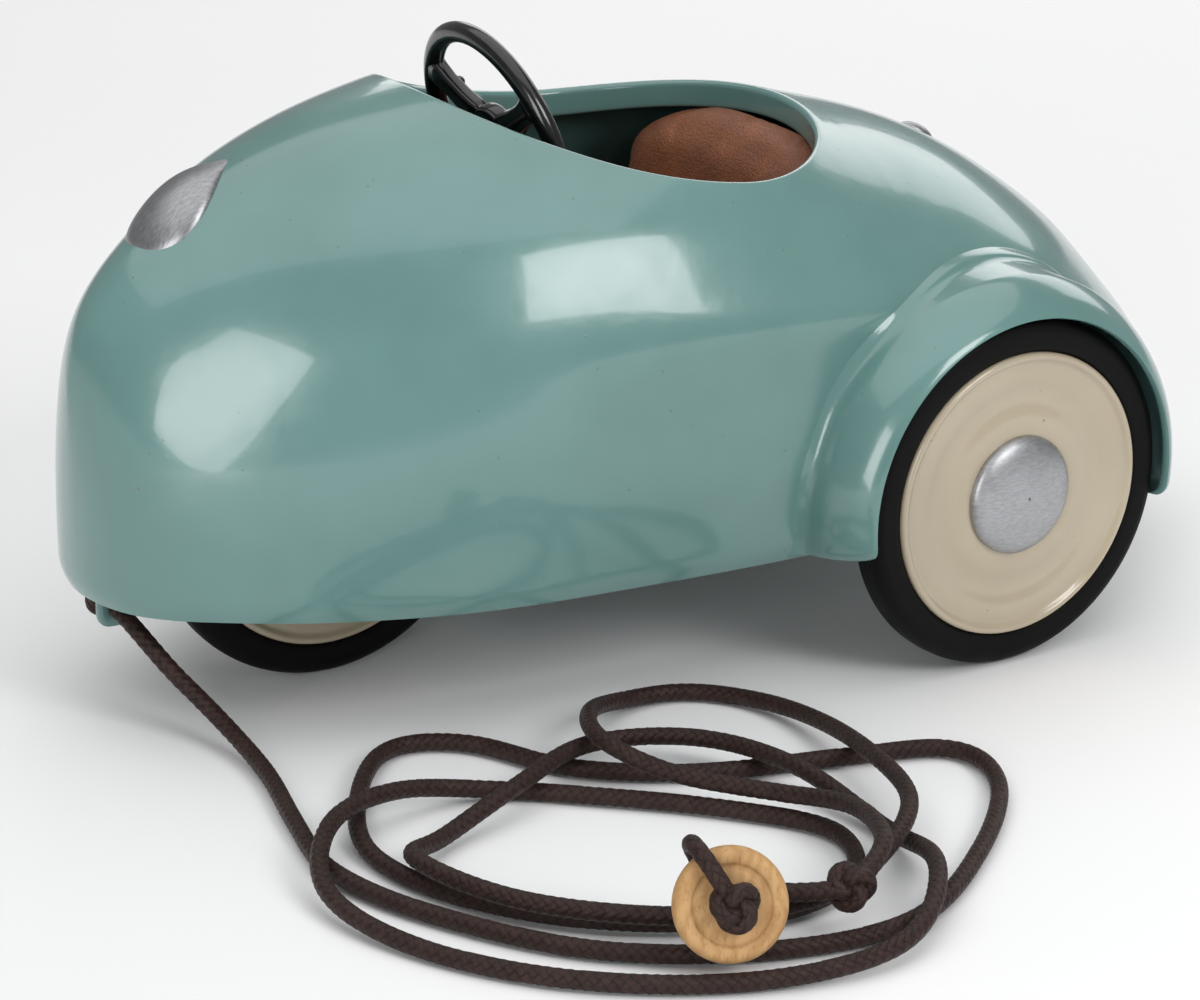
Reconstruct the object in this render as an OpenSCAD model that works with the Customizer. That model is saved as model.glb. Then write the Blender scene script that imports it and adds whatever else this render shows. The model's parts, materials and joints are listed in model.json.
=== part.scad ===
// Toy three-wheeled car in pressed steel with a pull cord.
// Nose towards +X, left side towards +Y, up is +Z, floor at z = 0.

/* [Body] */
// Length of the pressed body, nose to tail
body_l = 192; // [165:1:225]
// Widest width of the pressed body
body_w = 86; // [74:1:100]
// Height of the cowl above the floor
cowl_z = 91; // [80:1:105]
// Height of the open bottom edge above the floor
sill_z = 20; // [15:1:24]
// Sheet thickness of the body pressing
sheet_t = 1.0; // [0.8:0.1:1.4]
// How far the sides bulge, as a share of the half-width
side_bulge = 0.055; // [0:0.005:0.08]
// Depth of the soft crease along each side
crease_d = 1.0; // [0:0.1:1.6]
// Height of that crease above the floor
crease_z = 56; // [48:1:62]

/* [Cockpit] */
// Middle of the opening, measured forward from mid-length
cockpit_x = 1.5; // [-6:0.5:8]
// Reach of the opening forward of its middle
cockpit_front = 40.5; // [34:0.5:46]
// Reach of the opening behind its middle
cockpit_rear = 28; // [22:0.5:32]
// Half-width of the opening
cockpit_half_w = 33.5; // [26:0.5:35]
// Depth of the edge that is turned down into the opening
lip_depth = 4; // [2.5:0.5:6]
// Thickness of that turned edge
lip_t = 1.6; // [1.2:0.1:2.2]

/* [Wheels] */
// Outer radius of every tyre
tyre_r = 27.5; // [23:0.5:31]
// Width of every tyre
tyre_w = 6.5; // [5:0.5:9]
// Distance between the front and rear axles
wheelbase = 91; // [78:1:105]
// Distance of the rear axle behind mid-length
rear_axle_back = 35.5; // [30:0.5:42]
// Distance from the middle plane to the middle of a rear tyre
half_track = 50.2; // [49:0.2:58]
// Radius of the pressed wheel disc
disc_r = 22.3; // [19:0.1:24]
// Sheet thickness of the wheel discs
disc_t = 0.7; // [0.5:0.1:1]
// Radius of the silver hub cap
cap_r = 9.3; // [7:0.1:11]
// Height of the hub cap's dome
cap_h = 2.8; // [2.2:0.1:4]
// Radius of both axles
axle_r = 1.5; // [1.2:0.1:2]
// Outer radius of the wheel bushes
bush_r = 4; // [3:0.1:5]

/* [Fenders] */
// Radius of the fender's crown round the rear axle
fender_r = 33; // [31:0.5:38]
// Radius that its turned-down outer edge reaches
fender_lip_r = 28.0; // [28:0.5:34]
// Sheet thickness of the fenders
fender_t = 1.0; // [0.8:0.1:1.4]
// Angle that each leg drops below the axle, in degrees
fender_drop = 11; // [0:1:14]

/* [Steering] */
// Radius of the steering wheel at the middle of its rim
steer_r = 17; // [12:0.5:18]
// Radius of the rim's round section
steer_rim_r = 1.6; // [1.2:0.1:2.2]
// Place of the steering wheel's centre, forward of mid-length
steer_x = 24.3; // [22:0.1:29]
// Height of the steering wheel's centre
steer_z = 79.2; // [77:0.1:90]
// Slope of the column above level, in degrees
column_tilt = 18.5; // [14:0.5:24]
// Radius of the column
column_r = 1.5; // [1.2:0.1:2]
// Length of the column below the wheel
column_l = 36; // [30:1:42]

/* [Seat] */
// Width of the seat
seat_w = 54; // [44:1:60]
// Depth of the seat cushion from front to back
seat_depth = 32; // [26:1:36]
// Height of the seat plate above the floor
seat_z = 42; // [38:1:46]
// Thickness of the seat cushion
cushion_t = 9; // [6:0.5:11]
// Thickness of the back cushion
back_t = 12; // [9:0.5:15]
// Height of the back cushion along its slope
back_h = 21; // [18:1:22]
// Lean of the seat back from upright, in degrees
back_lean = 14; // [8:1:20]

/* [Pull cord] */
// Diameter of the cord
cord_d = 2.6; // [2:0.1:3]
// Diameter of the wooden button
button_d = 15; // [12:0.5:18]
// Thickness of the button
button_t = 3.2; // [2.4:0.1:4]

/* [Hidden] */

eps = 0.01;
run_gap = 0.05;        // radial clearance of a part that turns
end_gap = 0.2;         // axial clearance of a part that turns
bite = 0.15;           // how far a welded sheet sinks into the one it joins
round_fn = 48;

rear_x = -rear_axle_back;
front_x = rear_x + wheelbase;
axle_z = tyre_r;

// ---- the pressed body: rows of [share of half-width, share of height, squareness] ----
// The rows go from tail to nose at equal steps of the angle in station_x().
rows = [
    [0.00, 0.16, 2.4], [0.37, 0.25, 2.0], [0.66, 0.39, 2.0], [0.86, 0.585, 2.4],
    [0.965, 0.75, 3.5], [1.00, 0.85, 4.4], [0.99, 0.95, 4.8], [0.945, 1.00, 4.0],
    [0.87, 0.965, 3.0], [0.71, 0.88, 2.35], [0.50, 0.745, 2.1], [0.29, 0.60, 2.2],
    [0.00, 0.42, 2.5]];
last_row = len(rows) - 1;
side_steps = 16;
thinnest = 0.3;

function row(i) = rows[min(max(i, 0), last_row)];
function smooth(a, b, c, d, f) = 0.5 * (2 * b + (c - a) * f
    + (2 * a - 5 * b + 4 * c - d) * f * f + (3 * b - a - 3 * c + d) * f * f * f);
function before_first(k) = 2 * rows[0][k] - rows[1][k];
function after_last(k) = 2 * rows[last_row][k] - rows[last_row - 1][k];
function value(i, k) = i < 0 ? before_first(k) : i > last_row ? after_last(k) : rows[i][k];
function share(u, k) = let (i = min(floor(u), last_row - 1), f = u - i)
    smooth(value(i - 1, k), value(i, k), value(i + 1, k), value(i + 2, k), f);
function station_x(angle, length) = -length / 2 * cos(angle);
function row_at(x, length) = acos(min(max(-2 * x / length, -1), 1)) / 180 * last_row;

function half_w(u, inset) = max(share(u, 0) * body_w / 2 - inset, thinnest);
function top_z(u, inset) = sill_z + share(u, 1) * (cowl_z - sill_z) - inset;
function squareness(u) = share(u, 2);
function rise(a, u) = pow(sin(a), 2 / squareness(u));
function crease_grow(x) = min(max((0.52 * body_l / 2 - x) / (0.6 * body_l / 2), 0), 1);
function crease(x, z) = crease_d * crease_grow(x)
    * (exp(-pow((z - crease_z - 2) / 5, 2)) - 0.6 * exp(-pow((z - crease_z + 9) / 7, 2)));
// Half-width of the surface at height share h of station u
function side_y(x, u, a, h, inset) = let (z = sill_z + h * (top_z(u, inset) - sill_z))
    cos(a) * (half_w(u, inset) * (1 + side_bulge * sin(180 * h)) + crease(x, z));
function surface_point(x, u, a, inset) = let (h = rise(a, u))
    [x, side_y(x, u, a, h, inset), sill_z + h * (top_z(u, inset) - sill_z)];
function mirror_y(p) = [p[0], -p[1], p[2]];

// Half-width of the outer surface at a place and height
function body_y(x, z, inset = 0) = let (
        u = row_at(x, body_l), top = top_z(u, inset),
        h = min(max((z - sill_z) / (top - sill_z), 0), 1),
        a = asin(pow(h, squareness(u) / 2)))
    side_y(x, u, a, h, inset);
// Section angle at which the surface comes in to half-width y, found by halving a range
function seek(x, y, u, low, high, n, inset = 0) = let (a = (low + high) / 2)
    n == 0 ? a : side_y(x, u, a, rise(a, u), inset) > y
        ? seek(x, y, u, a, high, n - 1, inset) : seek(x, y, u, low, a, n - 1, inset);
// Height of the outer surface above a place
function body_z(x, y) = let (u = row_at(x, body_l), a = seek(x, abs(y), u, 0, 90, 16))
    sill_z + rise(a, u) * (top_z(u, 0) - sill_z);

// Closed solid through rings that all have the same number of points
module skin(rings, closed = false) {
    n = len(rings[0]);
    count = len(rings);
    points = [for (r = rings) each r];
    spans = closed ? count : count - 1;
    sides = [for (r = [0 : spans - 1], i = [0 : n - 1]) let (
            s = (r + 1) % count, j = (i + 1) % n)
        [r * n + i, r * n + j, s * n + j, s * n + i]];
    caps = closed ? [] : [[for (i = [n - 1 : -1 : 0]) i],
        [for (i = [0 : n - 1]) (count - 1) * n + i]];
    polyhedron(points, concat(sides, caps), convexity = 8);
}

// ---- the cockpit opening and the shell round it ----
rim_steps = 30;                  // along each side of the opening
tail_steps = 14;                 // from the tail to the opening
nose_steps = 16;                 // from the opening to the nose
inner_back = 0.8;                // how far the inner skin stands back from the opening
last_station = tail_steps + rim_steps + nose_steps;
row_size = 2 * side_steps + 2;

function rim_reach(t) = cos(t) > 0 ? cockpit_front : cockpit_rear;
function rim_plan(t, grow = 0) = [cockpit_x + (rim_reach(t) + grow) * cos(t),
    (cockpit_half_w + grow) * sin(t)];
function rim_out(t) = let (v = [cos(t) / rim_reach(t), sin(t) / cockpit_half_w]) v / norm(v);
function rim_angle(k) = 180 * (1 - (k - tail_steps) / rim_steps);
function is_open(k) = k > tail_steps && k < tail_steps + rim_steps;

// Place of station k along the body, and the section angle its surface reaches
function tail_x(k, length, grow) = let (
        stop = acos(-2 * rim_plan(180, grow)[0] / length))
    station_x(stop * k / tail_steps, length);
function nose_x(k, length, grow) = let (start = acos(-2 * rim_plan(0, grow)[0] / length))
    station_x(start + (180 - start) * k / nose_steps, length);
function shell_x(k, length, grow) = k < tail_steps ? tail_x(k, length, grow)
    : k <= tail_steps + rim_steps ? rim_plan(rim_angle(k), grow)[0]
    : nose_x(k - tail_steps - rim_steps, length, grow);
function reach_angle(k, x, u, inset, grow) = is_open(k)
    ? seek(x, rim_plan(rim_angle(k), grow)[1], u, 0, 90, 18, inset) : 90;
function shell_half(k, inset, grow) = let (
        length = body_l - 2 * inset, x = shell_x(k, length, grow), u = row_at(x, length),
        stop = reach_angle(k, x, u, inset, grow))
    [for (i = [0 : side_steps])
        surface_point(x, u, stop * pow(i / side_steps, squareness(u) / 2), inset)];
function shell_row(k, inset, grow) = let (s = shell_half(k, inset, grow))
    concat(s, [for (i = [side_steps : -1 : 0]) mirror_y(s[i])]);

// Turned edge of the opening, as [outward, up] from the rim
lip_chain = [[-0.3, 0.15], [-0.65, 0], [-lip_t / 2, -0.5], [-lip_t / 2, -lip_depth],
    [0.2, -lip_depth]];
lip_size = len(lip_chain);
rim_count = 2 * rim_steps;
function lip_turn(j) = 180 - 180 * j / rim_steps;
function lip_points(j) = let (
        t = lip_turn(j), p = rim_plan(t), o = rim_out(t), z = body_z(p[0], p[1]))
    [for (q = lip_chain) [p[0] + o[0] * q[0], p[1] + o[1] * q[0], z + q[1]]];

// Numbering of the points: outer skin, inner skin, turned edge
inner_start = (last_station + 1) * row_size;
lip_start = 2 * inner_start;
function at(k, i, base) = base + k * row_size
    + (i == side_steps + 1 && !is_open(k) ? side_steps : i);
function rim_at(j, base) = let (m = j % rim_count)
    m <= rim_steps ? at(tail_steps + m, side_steps, base)
        : at(tail_steps + rim_count - m, side_steps + 1, base);
// Points across the turned edge at rim place j, from the outer skin to the inner
function lip_at(j, q) = q < 0 ? rim_at(j, 0) : q >= lip_size ? rim_at(j, inner_start)
    : lip_start + (j % rim_count) * lip_size + q;
function turned(face, flip) = flip ? [for (i = [len(face) - 1 : -1 : 0]) face[i]] : face;

function skin_faces(base, flip) = [for (k = [0 : last_station - 1], i = [0 : row_size - 2])
    if (i != side_steps)
        turned([at(k, i, base), at(k + 1, i, base), at(k + 1, i + 1, base),
            at(k, i + 1, base)], flip)];
function end_face(k, base, flip) = turned([for (i = [0 : row_size - 1])
    if (i != side_steps + 1) at(k, i, base)], flip);
function edge_faces(i, flip) = [for (k = [0 : last_station - 1])
    turned([at(k, i, 0), at(k, i, inner_start), at(k + 1, i, inner_start),
        at(k + 1, i, 0)], flip)];
function end_edge(k, flip) = let (i = row_size - 1)
    turned([at(k, 0, 0), at(k, i, 0), at(k, i, inner_start), at(k, 0, inner_start)], flip);
lip_faces = [for (j = [0 : rim_count - 1], q = [-1 : lip_size - 1])
    [lip_at(j, q), lip_at(j + 1, q), lip_at(j + 1, q + 1), lip_at(j, q + 1)]];

module shell_skin() {
    points = concat(
        [for (k = [0 : last_station]) each shell_row(k, 0, 0)],
        [for (k = [0 : last_station]) each shell_row(k, sheet_t, inner_back)],
        [for (j = [0 : rim_count - 1]) each lip_points(j)]);
    polyhedron(points, concat(
        skin_faces(0, false), skin_faces(inner_start, true),
        [end_face(0, 0, false), end_face(last_station, 0, true),
            end_face(0, inner_start, true), end_face(last_station, inner_start, false)],
        edge_faces(0, false), edge_faces(row_size - 1, true),
        [end_edge(0, false), end_edge(last_station, true)],
        lip_faces), convexity = 8);
}

module body_shell() {
    color([0.46, 0.65, 0.62])
        difference() {
            shell_skin();
            translate([rear_x, 0, axle_z])
                rotate([90, 0, 0])
                    cylinder(h = 2 * body_w, r = spacer_r, center = true, $fn = round_fn);
        }
}

// ---- floor, bulkhead and the brackets that hold the axles ----
floor_t = 1.2;
floor_z = sill_z + 2;
floor_top = floor_z + floor_t;
bracket_t = 1.2;
bracket_w = 12;
bracket_foot = 7;
front_gap = tyre_w / 2 + 1.35;      // from the middle plane to the face of a front hanger
rear_hanger_y = body_w / 2 - 13;
spacer_r = 3;
slot_front = sqrt(tyre_r * tyre_r - pow(axle_z - floor_z, 2)) + 2.5;
floor_steps = 40;

function floor_half(k) = let (x = station_x(180 * k / floor_steps, body_l - 2 * sheet_t))
    [x, body_y(x * body_l / (body_l - 2 * sheet_t), floor_z) - sheet_t + bite];

module floor_pan() {
    left = [for (k = [1 : floor_steps - 1]) floor_half(k)];
    right = [for (k = [floor_steps - 1 : -1 : 1]) [floor_half(k)[0], -floor_half(k)[1]]];
    color([0.30, 0.42, 0.41])
        translate([0, 0, floor_z])
            linear_extrude(floor_t)
                difference() {
                    polygon(concat(left, right));
                    translate([front_x - slot_front, -front_gap])
                        square([2 * slot_front, 2 * front_gap]);
                }
}

bulkhead_x = front_x - 11;
bulkhead_t = 1.2;
bulkhead_low = 2 * tyre_r + 3;
bulkhead_steps = 12;
column_bush_r = 3;
column_bush_l = 8;
function column_point(d) = [steer_x + d * cos(column_tilt), steer_z - d * sin(column_tilt)];
column_reach = (bulkhead_x + bulkhead_t / 2 - steer_x) / cos(column_tilt);

module along_column(d) {
    p = column_point(d);
    translate([p[0], 0, p[1]])
        rotate([0, 90 + column_tilt, 0])
            children();
}

module front_bulkhead() {
    high = top_z(row_at(bulkhead_x, body_l), 0) - sheet_t + bite;
    heights = [for (k = [0 : bulkhead_steps])
        bulkhead_low + (high - bulkhead_low) * sin(90 * k / bulkhead_steps)];
    left = [for (z = heights) [body_y(bulkhead_x, z, sheet_t - bite), z]];
    right = [for (k = [bulkhead_steps : -1 : 0]) [-left[k][0], left[k][1]]];
    color([0.20, 0.29, 0.28])
        difference() {
            translate([bulkhead_x, 0, 0])
                rotate([90, 0, 90])
                    linear_extrude(bulkhead_t)
                        polygon(concat(left, right));
            along_column(column_reach)
                cylinder(h = 2 * column_bush_l, r = column_bush_r, center = true, $fn = round_fn);
        }
}

// One upright ear with a foot, standing on the floor; s is +1 or -1 for its side
module hanger(x, y, s) {
    ear_top = axle_z + 5;
    translate([x, s * (y + bracket_t / 2), 0])
        difference() {
            union() {
                translate([0, 0, (floor_top + ear_top) / 2])
                    cube([bracket_w, bracket_t, ear_top - floor_top], center = true);
                translate([0, s * bracket_foot / 2, floor_top + bracket_t / 2])
                    cube([bracket_w, bracket_foot, bracket_t], center = true);
            }
            translate([0, 0, axle_z])
                rotate([90, 0, 0])
                    cylinder(h = 4 * bracket_t, r = axle_r, center = true, $fn = round_fn);
        }
}

module front_hangers() {
    color([0.55, 0.56, 0.57])
        for (s = [-1, 1]) hanger(front_x, front_gap, s);
}

module rear_hangers() {
    color([0.55, 0.56, 0.57])
        for (s = [-1, 1]) hanger(rear_x, rear_hanger_y, s);
}

rivet_r = 1.4;
module rivet(x, y) {
    translate([x, y, floor_top + bracket_t])
        rotate_extrude($fn = 24)
            polygon([[0, 0], [rivet_r, 0], [rivet_r * 0.8, 0.5], [0, 0.8]]);
    translate([x, y, floor_z - 0.5])
        cylinder(h = 0.5, r = rivet_r, $fn = 24);
}

module floor_rivets() {
    color([0.6, 0.6, 0.6])
        for (s = [-1, 1], d = [-1, 1]) {
            rivet(front_x + d * 3.5, s * (front_gap + bracket_t + 3.5));
            rivet(rear_x + d * 3.5, s * (rear_hanger_y + bracket_t + 3.5));
        }
}

// ---- fenders ----
fender_steps = 40;
corner_steps = 5;
fender_face = half_track + tyre_w / 2 + 1.8;     // plane of the turned-down outer edge
fender_corner = fender_r - fender_lip_r;
fender_band = 8;                                // width of the sloping outer band
band_bend = 1.4;                                // 1 for a round band, 2 for a straight one
root_r = fender_r + 2.6;                        // where the flared root meets the body
function polar_body_y(r, angle) = body_y(rear_x + r * cos(angle), axle_z + r * sin(angle));
function corner(inset, k) = let (a = 90 * k / corner_steps)
    [fender_lip_r + (fender_corner - inset) * pow(cos(a), band_bend),
        fender_face - fender_band + (fender_band - 1.6 * inset) * pow(sin(a), band_bend)];
function fender_profile(angle) = let (root = polar_body_y(root_r, angle),
        neck = polar_body_y(fender_r, angle))
    concat(
        [[root_r, root - 2 * bite], [fender_r + 0.9, max(root, neck) + 0.7],
            [fender_r + 0.15, max(root, neck) + 1.8]],
        [for (k = [0 : corner_steps]) corner(0, k)],
        [for (k = [corner_steps : -1 : 0]) corner(fender_t, k)],
        [[fender_r - fender_t, neck - 2 * bite]]);
function fender_ring(angle, s) = [for (q = fender_profile(angle))
    [rear_x + q[0] * cos(angle), s * q[1], axle_z + q[0] * sin(angle)]];

module fender(s) {
    span = 180 + 2 * fender_drop;
    rings = [for (k = [0 : fender_steps])
        fender_ring(-fender_drop + span * (s > 0 ? k : fender_steps - k) / fender_steps, s)];
    color([0.46, 0.65, 0.62])
        skin(rings);
}
module left_fender() { fender(1); }
module right_fender() { fender(-1); }

// ---- lamps: raised teardrops on the middle line of the nose and the tail ----
lamp_l = 17;
lamp_w = 15;
lamp_h = 2.2;
lamp_x = 0.8 * body_l / 2;
tail_lamp_l = 7;
tail_lamp_w = 5;
tail_lamp_h = 1.6;
tail_lamp_x = -0.56 * body_l / 2;
lamp_rings = 9;
lamp_sides = 12;
lamp_front = 0.03;     // share left off at the round end of the teardrop
lamp_tip = 0.12;       // share left off at its tip
lamp_sink = 0.4;

// Half-width of the teardrop at f from its round front end (0) to its tip (1)
function drop_w(f) = sqrt(max(1 - pow(1 - min(f / 0.36, 1), 2), 0)) * (f < 0.36 ? 1
    : pow(cos(90 * (f - 0.36) / 0.64), 1.3));
function lamp_point(x0, l, w, h, f, e, s) = let (
        x = x0 + s * l * (0.5 - f), y = w / 2 * drop_w(f) * e)
    [x, y, body_z(x, y) + h * sqrt(max(1 - e * e, 0)) * drop_w(f) - lamp_sink];
function lamp_ring(x0, l, w, h, f, s) = concat(
    [for (k = [0 : lamp_sides]) lamp_point(x0, l, w, h, f, cos(180 * k / lamp_sides), s)],
    [for (k = [lamp_sides : -1 : 0]) let (
            p = lamp_point(x0, l, w, 0, f, cos(180 * k / lamp_sides), s))
        [p[0], p[1], p[2] - lamp_sink]]);
module lamp(x0, l, w, h, s) {
    skin([for (k = [0 : lamp_rings])
        let (f = lamp_front + (1 - lamp_front - lamp_tip)
            * (s > 0 ? k : lamp_rings - k) / lamp_rings)
            lamp_ring(x0, l, w, h, f, s)]);
}
module headlamp() { color([0.75, 0.76, 0.78]) lamp(lamp_x, lamp_l, lamp_w, lamp_h, 1); }
module tail_lamp() {
    color([0.75, 0.76, 0.78]) lamp(tail_lamp_x, tail_lamp_l, tail_lamp_w, tail_lamp_h, -1);
}

// ---- tow tab under the nose ----
tab_x = 0.935 * body_l / 2;
tab_l = 6;
tab_low = sill_z - 6;
tab_t = 1.2;
tab_hole_z = sill_z - 3;

module tow_tab() {
    color([0.46, 0.65, 0.62])
        difference() {
            translate([tab_x - tab_l / 2, -tab_t / 2, tab_low])
                cube([tab_l, tab_t, floor_z - tab_low]);
            translate([tab_x, 0, tab_hole_z])
                rotate([90, 0, 0])
                    cylinder(h = 4 * tab_t, r = cord_d / 2, center = true, $fn = round_fn);
        }
}

// ---- seat ----
pan_t = 1.0;
seat_front = 0.23 * body_l / 2;
seat_rear = seat_front - seat_depth - back_t - 1;
pan_back_h = back_h - 2;

module seat_pan() {
    color([0.25, 0.34, 0.33]) {
        translate([seat_front - pan_t, -seat_w / 2, floor_top])
            cube([pan_t, seat_w, seat_z - floor_top]);
        translate([seat_rear, -seat_w / 2, seat_z - pan_t])
            cube([seat_front - seat_rear, seat_w, pan_t]);
        translate([seat_rear, -seat_w / 2, seat_z - pan_t])
            rotate([0, -back_lean, 0])
                cube([pan_t, seat_w, pan_back_h]);
        translate([seat_rear, -seat_w / 2, floor_top])
            cube([pan_t, seat_w, seat_z - floor_top]);
    }
}

soft_r = 3.5;
soft_fn = 20;
back_taper = 10;
// Rounded block from x = 0 forward; its rear face narrows by taper at both sides
module pillow(size, taper = 0) {
    hull()
        for (x = [0, 1], y = [-1, 1], z = [soft_r, size[2] - soft_r])
            translate([soft_r + x * (size[0] - 2 * soft_r),
                y * (size[1] / 2 - soft_r - (1 - x) * taper), z])
                sphere(r = soft_r, $fn = soft_fn);
}

module seat_cushion() {
    color([0.40, 0.24, 0.14])
        translate([seat_front - seat_depth - 1, 0, seat_z])
            pillow([seat_depth, seat_w, cushion_t]);
}

module seat_back() {
    color([0.40, 0.24, 0.14])
        translate([seat_rear + pan_t, 0, seat_z])
            rotate([0, -back_lean, 0])
                translate([0, 0, 1])
                    pillow([back_t, seat_w, back_h + cushion_t], back_taper);
}

// ---- steering ----
hub_r = 5.2;
hub_h = 3.2;
spoke_r = 1.25;
clip_t = 1.0;
clip_r = 2.8;

module column_bush() {
    color([0.55, 0.56, 0.57])
        along_column(column_reach)
            difference() {
                cylinder(h = column_bush_l, r = column_bush_r, center = true, $fn = round_fn);
                cylinder(h = 2 * column_bush_l, r = column_r + run_gap, center = true, $fn = round_fn);
            }
}

module steering_column() {
    color([0.08, 0.08, 0.08])
        along_column(hub_h / 2)
            cylinder(h = column_l, r = column_r, $fn = round_fn);
}

module steering_wheel() {
    color([0.05, 0.05, 0.05])
        along_column(0) {
            rotate_extrude($fn = 72)
                translate([steer_r, 0])
                    circle(r = steer_rim_r, $fn = 24);
            cylinder(h = hub_h, r = hub_r, center = true, $fn = round_fn);
            for (angle = [0, 120, 240])
                rotate([0, 0, angle])
                    translate([hub_r - 1, 0, 0])
                        rotate([0, 90, 0])
                            cylinder(h = steer_r - hub_r + 1, r = spoke_r, $fn = 20);
        }
}

module steering_cap() {
    color([0.05, 0.05, 0.05])
        along_column(-hub_h / 2) {
            rotate([0, 180, 0])
                rotate_extrude($fn = round_fn)
                    polygon([[0, 0], [3, 0], [2.7, 0.8], [1.5, 1.3], [0, 1.4]]);
        }
}

module column_clips() {
    color([0.4, 0.4, 0.4])
        for (s = [-1, 1])
            along_column(column_reach + s * (column_bush_l / 2 + end_gap + clip_t / 2))
                difference() {
                    cylinder(h = clip_t, r = clip_r, center = true, $fn = round_fn);
                    cylinder(h = 2 * clip_t, r = column_r, center = true, $fn = round_fn);
                }
}

// ---- wheels: every wheel is drawn at the origin with its axle along Y ----
tyre_bed_r = disc_r - 1.7;      // inner radius of the rubber
bead_h = 1.0;                   // how far the disc's rolled edge stands over the rubber's seat
seat_y = tyre_w / 2 - 0.75;     // plane of the seat that the disc's edge lies on
crown_r = 2.4;                  // rounding of the tread's shoulders
disc_y = seat_y - disc_t + 0.35;
head_r = 2.8;
head_t = 0.8;

function shoulder(s) = [for (k = [0 : 5]) let (a = 90 * (s > 0 ? k : 5 - k) / 5)
    [tyre_r - crown_r + crown_r * sin(a), s * (tyre_w / 2 - crown_r + crown_r * cos(a))]];
function seat_side(s) = [[tyre_bed_r, s * seat_y], [disc_r + 0.1, s * seat_y],
    [disc_r + 0.1, s * (tyre_w / 2 - 0.2)], [disc_r + 0.8, s * tyre_w / 2]];
function reversed(v) = [for (i = [len(v) - 1 : -1 : 0]) v[i]];

module on_axle(x, y, s = 1) {
    translate([x, y, axle_z])
        rotate([s > 0 ? -90 : 90, 0, 0])
            children();
}

module tyre() {
    rotate_extrude($fn = 96)
        polygon(concat(seat_side(1), shoulder(1), shoulder(-1), reversed(seat_side(-1))));
}

// Dished disc: hole round the bush, flat centre, groove, broad ring and rolled edge
disc_face = [[bush_r, 0], [0.60, 0], [0.645, -0.55], [0.70, -0.55], [0.76, 0.1], [0.90, 0.1]];
function face_r(r) = r < 1 ? r * disc_r : r;
module disc() {
    outer = [for (p = disc_face) [face_r(p[0]), disc_y + disc_t + p[1]]];
    inner = [for (p = disc_face) [face_r(p[0]), disc_y + p[1]]];
    edge_low = [disc_r - 1.4, seat_y];
    rotate_extrude($fn = 96)
        polygon(concat(outer,
            [[disc_r - 1.2, seat_y + bead_h], [disc_r - 0.4, seat_y + bead_h],
                [disc_r, seat_y + bead_h / 2], [disc_r, seat_y], edge_low],
            reversed(inner)));
}

module backplate() {
    rotate_extrude($fn = 96)
        polygon([[bush_r, -seat_y - 0.2], [0.6 * disc_r, -seat_y - 0.2],
            [tyre_bed_r - 0.6, -seat_y - disc_t + 0.2], [disc_r - 0.3, -seat_y - disc_t + 0.2],
            [disc_r - 0.3, -seat_y], [tyre_bed_r - 0.4, -seat_y],
            [0.6 * disc_r, -seat_y + disc_t - 0.1], [bush_r, -seat_y + disc_t - 0.1]]);
}

module bush(from, to) {
    translate([0, 0, from])
        difference() {
            cylinder(h = to - from, r = bush_r, $fn = round_fn);
            translate([0, 0, -1])
                cylinder(h = to - from + 2, r = axle_r + run_gap, $fn = round_fn);
        }
}

cap_seat = disc_y + disc_t;
cap_wall = 0.6;
module cap() {
    outer = [for (k = [0 : 8]) let (a = 90 * k / 8) [cap_r * cos(a), cap_seat + cap_h * sin(a)]];
    inner = [for (k = [8 : -1 : 0]) let (a = 90 * k / 8)
        [(cap_r - cap_wall) * cos(a), cap_seat + (cap_h - cap_wall) * sin(a)]];
    rotate_extrude($fn = 72)
        polygon(concat(outer, inner));
}

bush_in = -seat_y - disc_t - 0.2;
bush_out = cap_seat - 0.3;
front_bush_half = front_gap - end_gap / 2;
rubber = [0.07, 0.07, 0.07];
cream = [0.80, 0.76, 0.68];

module front_tyre() { color(rubber) on_axle(front_x, 0) tyre(); }
module front_left_disc() { color(cream) on_axle(front_x, 0) disc(); }
module front_right_disc() { color(cream) on_axle(front_x, 0, -1) disc(); }
module front_bush() {
    color([0.55, 0.56, 0.57]) on_axle(front_x, 0) bush(-front_bush_half, front_bush_half);
}
module rear_left_tyre() { color(rubber) on_axle(rear_x, half_track) tyre(); }
module rear_left_disc() { color(cream) on_axle(rear_x, half_track) disc(); }
module rear_left_backplate() { color(cream) on_axle(rear_x, half_track) backplate(); }
module rear_left_bush() {
    color([0.55, 0.56, 0.57]) on_axle(rear_x, half_track) bush(bush_in, bush_out);
}
module rear_left_cap() { color([0.75, 0.76, 0.78]) on_axle(rear_x, half_track) cap(); }
module rear_right_tyre() { color(rubber) on_axle(rear_x, -half_track, -1) tyre(); }
module rear_right_disc() { color(cream) on_axle(rear_x, -half_track, -1) disc(); }
module rear_right_backplate() { color(cream) on_axle(rear_x, -half_track, -1) backplate(); }
module rear_right_bush() {
    color([0.55, 0.56, 0.57]) on_axle(rear_x, -half_track, -1) bush(bush_in, bush_out);
}
module rear_right_cap() { color([0.75, 0.76, 0.78]) on_axle(rear_x, -half_track, -1) cap(); }

// ---- axles ----
rear_head_y = half_track + bush_out + end_gap / 2;
front_head_y = front_gap + bracket_t;

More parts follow.
